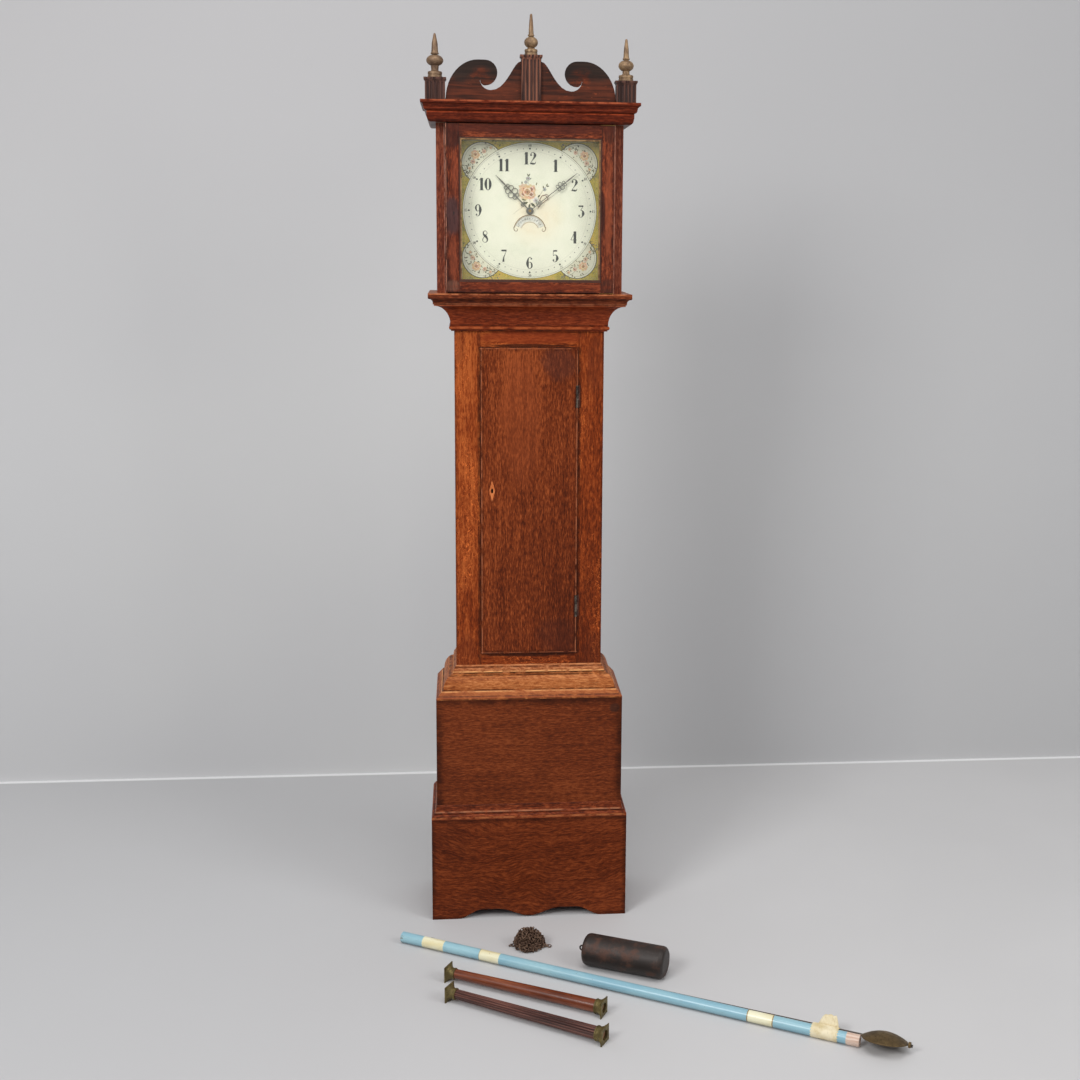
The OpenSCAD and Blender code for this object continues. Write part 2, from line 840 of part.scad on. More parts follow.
module hood_door_pivots() {
    pin_l = 5;
    x = hood_pivot[0];
    y = -hood_pivot[1];
    color(brass)
        for (end = [0, 1])
            let (z = end == 0 ? hood_door_foot - strap_t : hood_door_top) {
                board([x - 30, x + 3], [hood_pivot[1] - 5, hood_pivot[1] + 5], [z, z + strap_t]);
                translate([x, y, end == 0 ? z - pin_l : z])
                    cylinder(r = hood_pivot_r, h = pin_l + strap_t);
            }
}

// Dial, with a curved window for the date and a stud for the calendar disc
module dial_plate() {
    color([0.9, 0.88, 0.8]) {
        difference() {
            board([-dial_x, dial_x], [dial_back_d, dial_front_d], [dial_z - dial_x, dial_z + dial_x]);
            bar(hands, 8, [dial_back_d - 1, dial_front_d + 1]);
            translate([0, 0, date_z])
                sheet([dial_back_d - 1, dial_front_d + 1])
                    polygon(concat(arc([0, 0], date_window[1], date_window[1], 20, 160, 24),
                        arc([0, 0], date_window[0], date_window[0], 160, 20, 24)));
        }
        bar([0, date_z], stud_r, [dial_back_d - 4, dial_back_d]);
        bar([0, date_z], 5, [dial_back_d - 4, dial_back_d - 2]);
    }
}

module movement_pillars() {
    color(brass) {
        for (p = pillar_spots) {
            bar(hands + p, pillar_r, [back_plate_d, inner_front_d]);
            bar(hands + p, tenon_r, [plate_rear_d - 2, front_plate_d + 2]);
        }
        for (p = dial_foot_spots) {
            bar(hands + p, dial_foot_r, [inner_front_d - 2, dial_back_d]);
            bar(hands + p, dial_foot_r + 2, [front_plate_d, front_plate_d + 2]);
        }
    }
}

// Outline of a plate and the holes for its pillars
module plate_blank(d) {
    difference() {
        board([-plate_w / 2, plate_w / 2], d, [seat_top, seat_top + plate_h]);
        for (p = pillar_spots)
            bar(hands + p, tenon_r, [d[0] - 1, d[1] + 1]);
    }
}

module front_plate() {
    d = [inner_front_d, front_plate_d];
    through = [d[0] - 1, d[1] + 1];
    color(brass) {
        difference() {
            plate_blank(d);
            for (p = dial_foot_spots)
                bar(hands + p, dial_foot_r, through);
            bar(great, arbor_r + running_gap, through);
            bar(strike_great, stout_pivot_r + running_gap, through);
            for (at = [second, escape, hoop, fly_axis, hammer_axis, pallet_axis])
                bar(at, pivot_r + running_gap, through);
        }
        bar(hands, stud_r, [front_plate_d, minute_hand_d + 3]);
        bar(minute_axis, minute_stud_r, [front_plate_d, hour_wheel_d + 4]);
        bar(hands, 5, [front_plate_d, front_plate_d + 1.5]);
        bar(minute_axis, 4, [front_plate_d, motion_wheel_d - 1]);
    }
}

module back_plate() {
    d = [plate_rear_d, back_plate_d];
    through = [d[0] - 1, d[1] + 1];
    color(brass) {
        difference() {
            plate_blank(d);
            for (at = [great, strike_great])
                bar(at, stout_pivot_r + running_gap, through);
            for (at = [second, escape, hoop, fly_axis, hammer_axis])
                bar(at, pivot_r + running_gap, through);
            bar(pallet_axis, 5, through);
        }
        bar(count_axis, stud_r, [plate_rear_d - 8.5, plate_rear_d]);
        bar(count_axis, stud_r + 2, [plate_rear_d - 8.5, plate_rear_d - 7]);
    }
}

// Back cock that carries the pallet arbor and the suspension, and the stand of the bell
module back_cock_and_bell_stand() {
    x = pallet_axis[0];
    z = pallet_axis[1];
    rear = plate_rear_d;
    stand_x = [40, 52];
    arm_z = bell_mouth + bell_h;
    color(brass) {
        difference() {
            union() {
                for (side = [[-20, -10], [10, 20]])
                    board([x + side[0], x + side[1]], [rear - 22, rear], [z - 11, z + 11]);
                board([x - 20, x + 20], [rear - 22, rear - 18], [z - 11, z + 11]);
                board([x - 5, x + 5], [rear - 31, rear - 22], [z - 2, z + 11]);
            }
            bar(pallet_axis, pivot_r + running_gap, [rear - 23, rear - 17]);
            board([x - 0.4, x + 0.4], [rear - 32, rear - 24], [z - 3, z + 12]);
        }
        board(stand_x, [rear - 3, rear], [z - 14, arm_z + 6]);
        board([-5, stand_x[1]], [rear - 3, rear], [arm_z, arm_z + 6]);
        board([-5, 5], [rear, bell_d + 5], [arm_z, arm_z + 6]);
        translate([0, -bell_d, arm_z - 7])
            cylinder(r = 2.9, h = 8);
        translate([0, -bell_d, arm_z - 7])
            cylinder(r = 6, h = 3.5, $fn = 6);
    }
}

module bell() {
    wall = 2.2;
    inner_h = bell_h - wall;
    color(dark_brass)
        translate([0, -bell_d, bell_mouth])
            rotate_extrude($fn = 64)
                polygon(concat([[3, bell_h]],
                    arc([0, 0], bell_r, bell_h, 84, 8, 12),
                    [[bell_r + 1.5, 0], [bell_r - 1, 0]],
                    arc([0, 0], bell_r - wall, inner_h, 8, 84, 12),
                    [[3, inner_h]]));
}

// Going train
module great_wheel() {
    color(brass) {
        translate([great[0], 0, great[1]]) {
            sheet([great_wheel_d, great_wheel_d + great_t])
                crossed_wheel(great_teeth, great_m, 0, 7, 4);
            sheet([drive_wheel_d, drive_wheel_d + 2.5])
                crossed_wheel(drive_teeth, drive_m, 0, 6, 4);
        }
        bar(great, arbor_r, [back_plate_d + end_float, drive_wheel_d + 5]);
        bar(great, stout_pivot_r, [plate_rear_d, back_plate_d + 1]);
        sprocket(great);
    }
}

module second_wheel() {
    p = meshed(great_teeth, leaves, heading(great, second));
    color(brass) {
        arbor(second, great_m * 1.9, pivot_r);
        pinion(second, leaves, great_m, p, [great_wheel_d - 4, great_wheel_d + great_t + 3]);
        translate([second[0], 0, second[1]])
            sheet([second_wheel_d, second_wheel_d + wheel_t])
                crossed_wheel(second_teeth, second_m, 0, 6, 4);
    }
}

module escape_wheel() {
    p = meshed(second_teeth, leaves, heading(second, escape));
    n = 30;
    root = escape_r - 4.5;
    tooth = [for (i = [0:n - 1]) for (side = [[root, 0], [escape_r, 4.6], [escape_r, 5.4], [root, 4.8]])
        side[0] * [cos(-(i * 12 + side[1])), sin(-(i * 12 + side[1]))]];
    color(brass) {
        arbor(escape, thin_arbor_r, pivot_r);
        pinion(escape, leaves, second_m, p, [second_wheel_d - 4, second_wheel_d + wheel_t + 4]);
        translate([escape[0], 0, escape[1]])
            sheet([escape_wheel_d, escape_wheel_d + 1.6])
                difference() {
                    polygon(tooth);
                    difference() {
                        circle(root - 2.4);
                        circle(4.5);
                        for (i = [0:3])
                            rotate(i * 90)
                                translate([0, -1.2])
                                    square([root, 2.4]);
                    }
                }
    }
}

// Anchor pallets with their arbor and the crutch that drives the pendulum
module pallets() {
    x = pallet_axis[0];
    z = pallet_axis[1];
    crutch_d = plate_rear_d - 11;
    crutch_l = 70;
    color(steel) {
        bar(pallet_axis, thin_arbor_r, [plate_rear_d - 17.5, inner_front_d - end_float]);
        bar(pallet_axis, pivot_r, [plate_rear_d - 21.5, front_plate_d]);
        translate([x, 0, z])
            sheet([escape_wheel_d - 1.5, escape_wheel_d + 3]) {
                circle(4);
                for (side = [0, 1])
                    mirror([side, 0])
                        rotate(-45)
                            translate([0, 1.6])
                                square([escape_r + 2, 2.6]);
            }
        bar(pallet_axis, 3, [crutch_d - 1.5, crutch_d + 1.5]);
        translate([x, -crutch_d, z - crutch_l])
            cylinder(r = 1.2, h = crutch_l);
        bar([x, z - crutch_l], 1.2, [crutch_d - 18, crutch_d]);
        board([x - 4, x + 4], [crutch_d - 12, crutch_d - 10], [z - crutch_l - 1, z - crutch_l + 1]);
    }
}

// Motion work between the front plate and the dial
module cannon_wheel() {
    p = meshed(drive_teeth, cannon_leaves, heading(great, hands));
    color(brass)
        translate([hands[0], 0, hands[1]])
            difference() {
                union() {
                    sheet([drive_wheel_d - 1.5, drive_wheel_d + 4])
                        polygon(teeth(cannon_leaves, drive_m, leaf_tooth, p));
                    sheet([motion_wheel_d, motion_wheel_d + wheel_t])
                        polygon(teeth(motion_teeth, motion_m, wheel_tooth, 0));
                    bar([0, 0], cannon_r, [drive_wheel_d - 1.5, minute_hand_d + 2]);
                }
                bar([0, 0], stud_r + running_gap, [drive_wheel_d - 3, minute_hand_d + 3]);
            }
}

module minute_wheel() {
    p = meshed(motion_teeth, motion_teeth, heading(hands, minute_axis));
    color(brass)
        translate([minute_axis[0], 0, minute_axis[1]])
            difference() {
                union() {
                    sheet([motion_wheel_d, motion_wheel_d + wheel_t])
                        polygon(teeth(motion_teeth, motion_m, wheel_tooth, p));
                    sheet([motion_wheel_d, hour_wheel_d + wheel_t + 1])
                        polygon(teeth(hour_leaves, hour_m, leaf_tooth, 0));
                }
                bar([0, 0], minute_stud_r + running_gap, [motion_wheel_d - 1, hour_wheel_d + 8]);
            }
}

module hour_wheel() {
    p = meshed(hour_leaves, hour_teeth, heading(minute_axis, hands));
    color(brass)
        translate([hands[0], 0, hands[1]])
            difference() {
                union() {
                    sheet([hour_wheel_d, hour_wheel_d + wheel_t])
                        crossed_wheel(hour_teeth, hour_m, p, 8, 4);
                    bar([0, 0], hour_pipe_r, [hour_wheel_d - 2, hour_hand_d + hand_t + 0.5]);
                }
                bar([0, 0], cannon_r + running_gap, [hour_wheel_d - 3, hour_hand_d + 3]);
            }
}

// Small ring used in the pierced hands
module scroll_ring(at, r, w) {
    translate(at)
        difference() {
            circle(r, $fn = 24);
            circle(r - w, $fn = 24);
        }
}

// Hand with a boss, a slim stem, pairs of pierced scrolls and a leaf point
module hand(l, boss, hole, stem_w, scrolls, point) {
    difference() {
        union() {
            circle(boss);
            translate([-stem_w / 2, 0])
                square([stem_w, point[0] + 2]);
            for (s = scrolls)
                for (side = [-1, 1])
                    scroll_ring([side * (s[1] - 0.4), s[0]], s[1], 1.5);
            polygon(concat([[0, point[0]]], curve([0, point[0]], [point[1] * 1.6, point[0] + point[1]],
                [0.7, l - 12], [0.4, l], 7), [[-0.4, l]],
                curve([-0.4, l], [-0.7, l - 12], [-point[1] * 1.6, point[0] + point[1]],
                [-0.01, point[0]], 7)));
        }
        circle(hole);
    }
}

module minute_hand() {
    color(iron)
        translate([hands[0], 0, hands[1]])
            sheet([minute_hand_d, minute_hand_d + hand_t])
                rotate(-minute_angle)
                    hand(minute_hand_l, 6.5, cannon_r + hand_gap, 1.8,
                        [[24, 3.6], [31, 2.9], [84, 4.2], [92, 5], [101, 3.6]], [106, 2]);
}

module hour_hand() {
    color(iron)
        translate([hands[0], 0, hands[1]])
            sheet([hour_hand_d, hour_hand_d + hand_t])
                rotate(-hour_angle)
                    hand(hour_hand_l, 8.5, hour_pipe_r + hand_gap, 2.4,
                        [[22, 3.4], [46, 4.6], [56, 7], [67, 6], [76, 4]], [80, 2.4]);
}

module calendar_disc() {
    color([0.85, 0.85, 0.8])
        difference() {
            bar([0, date_z], date_r, [dial_back_d - 1.5, dial_back_d - touch]);
            bar([0, date_z], stud_r + running_gap, [dial_back_d - 3, dial_back_d + 1]);
        }
}

// Striking train
module strike_great_wheel() {
    color(brass) {
        arbor(strike_great, arbor_r, stout_pivot_r);
        bar(strike_great, stout_pivot_r, [plate_rear_d - 4, plate_rear_d + 1]);
        pinion(strike_great, report_leaves, report_m, 0, [plate_rear_d - 3.6, plate_rear_d - 0.6]);
        translate([strike_great[0], 0, strike_great[1]])
            sheet([strike_wheel_d - great_t, strike_wheel_d])
                crossed_wheel(strike_teeth, strike_m, 0, 7, 4);
        for (i = [0:12])
            bar(polar(strike_great, pin_circle, i * 360 / 13), 1, [strike_wheel_d - 1, strike_wheel_d + 4]);
        sprocket(strike_great);
    }
}

module hoop_wheel() {
    p = meshed(strike_teeth, leaves, heading(strike_great, hoop));
    color(brass) {
        arbor(hoop, strike_m * 1.9, pivot_r);
        pinion(hoop, leaves, strike_m, p, [strike_wheel_d - great_t - 3, strike_wheel_d + 4]);
        translate([hoop[0], 0, hoop[1]]) {
            sheet([hoop_wheel_d, hoop_wheel_d + wheel_t])
                crossed_wheel(hoop_teeth, hoop_m, 0, 6, 4);
            sheet([hoop_wheel_d - 6, hoop_wheel_d])
                difference() {
                    circle(21);
                    circle(19.4);
                    translate([12, -4])
                        square([12, 8]);
                }
        }
    }
}

module fly() {
    p = meshed(hoop_teeth, leaves, heading(hoop, fly_axis));
    color(brass) {
        arbor(fly_axis, thin_arbor_r, pivot_r);
        pinion(fly_axis, leaves, hoop_m, p, [hoop_wheel_d - 4, hoop_wheel_d + wheel_t + 4]);
        board([fly_axis[0] - 15, fly_axis[0] + 15], [strike_wheel_d + 2, hoop_wheel_d - 9],
            [fly_axis[1] - 0.5, fly_axis[1] + 0.5]);
    }
}

// Count wheel: a slot falls after each hour has struck
module count_wheel() {
    p = meshed(report_leaves, count_teeth, heading(strike_great, count_axis));
    disc_r = 31;
    sum_to = [for (h = [1:12]) h * (h + 1) / 2];
    color(brass)
        translate([count_axis[0], 0, count_axis[1]])
            difference() {
                union() {
                    sheet([plate_rear_d - 3.2, plate_rear_d - 1.2])
                        crossed_wheel(count_teeth, report_m, p, 7, 4);
                    bar([0, 0], 6, [plate_rear_d - 6, plate_rear_d - 1.2]);
                    sheet([plate_rear_d - 5.6, plate_rear_d - 4.1])
                        difference() {
                            circle(disc_r);
                            for (s = sum_to)
                                rotate(s * 360 / 78)
                                    translate([disc_r - 4, -1.4])
                                        square([6, 2.8]);
                        }
                }
                bar([0, 0], stud_r + running_gap, [plate_rear_d - 8, plate_rear_d]);
            }
}

// Hammer with its arbor, stem, head and the tail that the pins lift
module hammer() {
    x = hammer_axis[0];
    z = hammer_axis[1];
    head_z = bell_mouth + 6;
    gap = 2.5;
    color(steel) {
        arbor(hammer_axis, 2, pivot_r);
        board([x - 2, x + 2], [bell_d - 2, bell_d + 2], [z, head_z]);
        translate([x - 4, -bell_d, head_z])
            rotate([0, 90, 0])
                cylinder(r = 6, h = -bell_r - gap - x + 4);
        translate([x, 0, z])
            sheet([strike_wheel_d + 1, strike_wheel_d + 3])
                rotate(heading(hammer_axis, strike_great))
                    translate([0, -1.5])
                        square([6.8, 3]);
    }
}

// Loose pieces on the floor before the clock
module chain_heap() {
    color(dark_brass)
        translate([heap_at[0], heap_at[1], 0]) {
            rotate_extrude($fn = 40)
                polygon(concat([[0, 0], [heap_r, 0], [heap_r, 4]],
                    arc([0, 4], heap_r, heap_h - 4, 8, 90, 8)));
            translate([-heap_r - 7, 4, 3.1])
                rotate([0, 90, 0])
                    cylinder(r = 3, h = 12);
            translate([heap_r - 5, -6, 3.1])
                rotate([0, 90, -20])
                    cylinder(r = 3, h = 14);
        }
}

module weight() {
    corner = 11;
    eye_r = 5.5;
    wire_r = 1.8;
    color(iron)
        translate([weight_start[0], weight_start[1], weight_r])
            rotate([0, 90, weight_turn]) {
                rotate_extrude($fn = 64)
                    polygon(concat([[0, 0]], arc([weight_r - corner, corner], corner, corner, -90, 0, 4),
                        arc([weight_r - corner, weight_l - corner], corner, corner, 0, 90, 4),
                        [[0, weight_l]]));
                translate([0, 0, -4])
                    cylinder(r = 3, h = 5);
                translate([0, 0, -eye_r - 2])
                    rotate([90, 0, 0])
                        rotate_extrude($fn = 36)
                            translate([eye_r, 0])
                                circle(wire_r, $fn = 16);
            }
}

// Frame of one loose column: its axis lies along +X of the children
module column_place(i) {
    translate([column_starts[i][0], column_starts[i][1], column_plate / 2])
        rotate([0, 0, column_turns[i]])
            rotate([0, 90, 0])
                children();
}

// Brass cap or base of a column: a hollow flare from a square plate to a round collar
module column_cap(r) {
    half = column_plate / 2;
    plate = 2;
    flare_h = 12;
    flare_r = 1.3 * half;
    neck_r = r + 1.2;
    neck_z = plate + flare_h;
    difference() {
        intersection() {
            translate([-half, -half, 0])
                cube([column_plate, column_plate, cap_l]);
            rotate_extrude($fn = 48)
                polygon(concat([[0, 0], [2 * half, 0], [2 * half, plate], [flare_r, plate]],
                    arc([flare_r, neck_z], flare_r - neck_r, flare_h, -90, -180, 7),
                    [[neck_r, neck_z + 2], [neck_r + 1, neck_z + 2.5], [neck_r + 1, neck_z + 4.5],
                    [neck_r, neck_z + 5], [neck_r, cap_l], [0, cap_l]]));
        }
        translate([0, 0, -1])
            cylinder(r = r - 3, h = cap_l);
        translate([0, 0, shaft_foot])
            cylinder(r = r + 0.1, h = cap_l);
    }
}

module column_caps(i) {
    color(dark_brass)
        column_place(i) {
            column_cap(shaft_r[0]);
            translate([0, 0, column_l])
                mirror([0, 0, 1])
                    column_cap(shaft_r[1]);
        }
}

module column_smooth() {
    color(oak)
        column_place(0)
            translate([0, 0, shaft_foot])
                cylinder(r1 = shaft_r[0] - 0.1, r2 = shaft_r[1] - 0.1, h = column_l - 2 * shaft_foot);
}

module column_smooth_caps() {
    column_caps(0);
}

// Reeded shaft: a core and slender cones laid round it, all of one taper
module column_reeded() {
    reeds = 14;
    share = 0.21;
    inset = 0.1;
    r1 = shaft_r[0] - 0.1;
    r2 = shaft_r[1] - 0.1;
    l = column_l - 2 * shaft_foot;
    lean = atan((1 - share) * (r2 - r1) / l);
    color(oak_dark)
        column_place(1)
            translate([0, 0, shaft_foot]) {
                cylinder(r1 = (1 - 0.6 * share) * r1, r2 = (1 - 0.6 * share) * r2, h = l);
                for (i = [0:reeds - 1])
                    rotate([0, 0, i * 360 / reeds])
                        translate([(1 - share) * r1, 0, inset])
                            rotate([0, lean, 0])
                                cylinder(r1 = share * r1, r2 = share * r2, h = l - 2 * inset, $fn = 20);
            }
}

module column_reeded_caps() {
    column_caps(1);
}

// Frame of the pole and what is tied to it: +X runs along the pole
module pole_place() {
    translate([pole_start[0], pole_start[1], 0])
        rotate([0, 0, pole_turn])
            children();
}

// Frame of the rod: +X runs along it, from the middle of the bob to the nut
module rod_place() {
    pole_place()
        translate([bob_s, rod_side, rod_z])
            rotate([0, -rod_dip, -rod_swing])
                children();
}

// Round bar along the rod
module along(from, to, r) {
    translate([from, 0, 0])
        rotate([0, 90, 0])
            cylinder(r = r, h = to - from);
}

module pole() {
    color([0.45, 0.68, 0.80])
        pole_place()
            translate([0, 0, pole_r])
                rotate([0, 90, 0])
                    cylinder(r = pole_r, h = pole_l);
}

module pendulum_rod() {
    end = nut_from + 9;
    strip = [strip_l + 0.5, 0.6, 8];
    color(iron)
        rod_place() {
            along(rod_top, nut_from - touch, rod_r);
            along(0, end, thread_r);
            translate([rod_top - strip_l, -strip[1] / 2, -strip[2] / 2])
                cube(strip);
            translate([-rod_run - rod_block[0] / 2, -rod_block[1] / 2, -rod_block[2] / 2])
                cube(rod_block);
            translate([end - 2, 0, -5])
                cylinder(r = thread_r - 0.5, h = 5);
        }
}

// Lens shaped bob with a flatter back, tipped about the rod with its near side up
module pendulum_bob() {
    front = 16;
    back = 9;
    rim_x = bob_r - rim_r;
    far = 0.8 * bob_r;
    near = 0.38 * bob_r;
    color(dark_brass)
        rod_place()
            difference() {
                rotate([-bob_tip, 0, 0])
                    rotate_extrude($fn = 72)
                        polygon(concat([[0, front]],
                            curve([0, front], [near, front], [far, 7], [rim_x, rim_r], 8),
                            arc([rim_x, 0], rim_r, rim_r, 60, -60, 4), [[rim_x, -rim_r]],
                            curve([rim_x, -rim_r], [far, -5], [near, -back], [0, -back], 8)));
                along(-bob_r - 5, bob_r + 5, rod_r + 0.1);
            }
}

module rating_nut() {
    nut_r = 6;
    nut_l = 5;
    color(brass)
        rod_place()
            difference() {
                along(nut_from, nut_from + nut_l, nut_r);
                along(nut_from - 1, nut_from + nut_l + 1, thread_r + running_gap);
                for (i = [0:11])
                    rotate([i * 30, 0, 0])
                        translate([nut_from - 1, nut_r + 0.5, 0])
                            rotate([0, 90, 0])
                                cylinder(r = 0.9, h = nut_l + 2, $fn = 16);
            }
}

plinth_front();
lower_side_boards();
plinth_moulding();
base_front();
base_moulding();
backboard();
trunk_sides();
trunk_frame();
trunk_foot_moulding();
throat_moulding();
seatboard();
case_hinge_leaves();
trunk_door();
door_hinge_leaves();
lock_case();
lock_bolt();
hood_base_frame();
hood_sides();
hood_front_stiles();
hood_mask();
hood_top_board();
cornice();
pediment();
finial_blocks();
finials();
hood_door_frame();
glass_slip();
door_glass();
hood_door_pivots();
dial_plate();
movement_pillars();
front_plate();
back_plate();
back_cock_and_bell_stand();
bell();
great_wheel();
second_wheel();
escape_wheel();
pallets();
cannon_wheel();
minute_wheel();
hour_wheel();
minute_hand();
hour_hand();
calendar_disc();
strike_great_wheel();
hoop_wheel();
fly();
count_wheel();
hammer();
chain_heap();
weight();
column_smooth();
column_smooth_caps();
column_reeded();
column_reeded_caps();
pole();
pendulum_rod();
pendulum_bob();
rating_nut();
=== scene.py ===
"""Looks of a longcase clock: waxed oak, painted dial, old brass, chain, pole and studio."""
import json
import math
import random

import bpy
from mathutils import Matrix, Vector

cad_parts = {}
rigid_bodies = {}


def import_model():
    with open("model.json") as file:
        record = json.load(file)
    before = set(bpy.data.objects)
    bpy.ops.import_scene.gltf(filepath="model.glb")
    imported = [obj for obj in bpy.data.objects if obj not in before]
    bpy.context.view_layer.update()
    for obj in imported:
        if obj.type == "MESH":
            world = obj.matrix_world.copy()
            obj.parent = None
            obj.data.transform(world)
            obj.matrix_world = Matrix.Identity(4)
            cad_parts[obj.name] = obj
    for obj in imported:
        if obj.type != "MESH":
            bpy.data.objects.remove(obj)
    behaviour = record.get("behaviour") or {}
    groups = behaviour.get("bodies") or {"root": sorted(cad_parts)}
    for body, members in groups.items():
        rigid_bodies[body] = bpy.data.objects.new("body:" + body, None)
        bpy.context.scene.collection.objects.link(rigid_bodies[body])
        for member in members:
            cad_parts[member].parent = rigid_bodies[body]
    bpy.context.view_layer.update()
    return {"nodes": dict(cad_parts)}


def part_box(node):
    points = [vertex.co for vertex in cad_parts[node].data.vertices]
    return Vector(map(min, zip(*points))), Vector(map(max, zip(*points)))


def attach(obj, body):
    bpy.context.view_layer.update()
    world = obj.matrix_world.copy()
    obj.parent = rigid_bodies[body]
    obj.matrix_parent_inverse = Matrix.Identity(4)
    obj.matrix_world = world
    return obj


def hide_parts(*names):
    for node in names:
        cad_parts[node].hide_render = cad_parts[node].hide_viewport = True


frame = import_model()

bl_info = {
    "name": "Longcase clock looks",
    "version": (1, 0, 0),
    "blender": (4, 5, 0),
    "location": "3D View > Sidebar > Clock",
    "description": "Finishes and small painted pieces of a longcase clock",
    "category": "Object",
}

NODES = frame["nodes"]
MM = 0.001
EVEN = (1, 1, 1)

# Places that the CAD gives
DIAL_LO, DIAL_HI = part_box("dial_plate")
DIAL_Z = (DIAL_LO.z + DIAL_HI.z) / 2
DIAL_FRONT = DIAL_LO.y - 0.00008
DATE_LO, DATE_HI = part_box("calendar_disc")
DATE_Z = (DATE_LO.z + DATE_HI.z) / 2
POLE_START = Vector((-304.6, -328.5, 12.5)) * MM
POLE_TURN = math.radians(-28.6)
HEAP = Vector((-8, -374, 0)) * MM
LOCK_X, LOCK_Z = -0.0883, 1.0563

# Painting of the dial, with its circles in mm
PAINT_LAYER = 0.00003
MINUTE_CIRCLE, DATE_CIRCLE = 147.2, 28.6
DOT_CIRCLE = 0.1402
MEDAL_X, MEDAL_Z = 0.109, 0.107


def paint(tint):
    """A web colour such as "42180a" as the linear colour that a node takes."""
    def linear(value):
        value /= 255
        return value / 12.92 if value <= 0.04045 else ((value + 0.055) / 1.055) ** 2.4
    return tuple(linear(int(tint[i:i + 2], 16)) for i in (0, 2, 4)) + (1.0,)


def shades(tones):
    """Web colours of one string, or colours that are linear already, as linear colours."""
    return [paint(tint) for tint in tones.split()] if isinstance(tones, str) else tones


def scaled(tint, factor):
    return tuple(min(1.0, c * factor) for c in tint[:3]) + (1.0,)


# Shader arithmetic

class Wire:
    """An output of a node. Arithmetic on it adds Math nodes."""

    def __init__(self, finish, socket):
        self.finish = finish
        self.socket = socket

    def math(self, operation, *values):
        return self.finish.node("Math", {"operation": operation}, values)

    def __rsub__(self, other):
        return self.math("SUBTRACT", other, self)

    def __neg__(self):
        return self * -1.0

    def step(self, low, high):
        """0 below low and 1 above high, with a soft change between."""
        return self.finish.node("MapRange", {"interpolation_type": "SMOOTHSTEP"},
                                {"Value": self, "From Min": low, "From Max": high})

    def band(self, middle, half, soft):
        """1 within half of the middle value, 0 further off."""
        return 1 - (self - middle).size().step(half, half + soft)


for word, kind in (("__add__", "ADD"), ("__radd__", "ADD"), ("__sub__", "SUBTRACT"),
                   ("__mul__", "MULTIPLY"), ("__rmul__", "MULTIPLY"), ("__truediv__", "DIVIDE"),
                   ("least", "MINIMUM"), ("most", "MAXIMUM"), ("size", "ABSOLUTE"),
                   ("power", "POWER")):
    setattr(Wire, word, lambda self, *other, kind=kind: self.math(kind, self, *other))


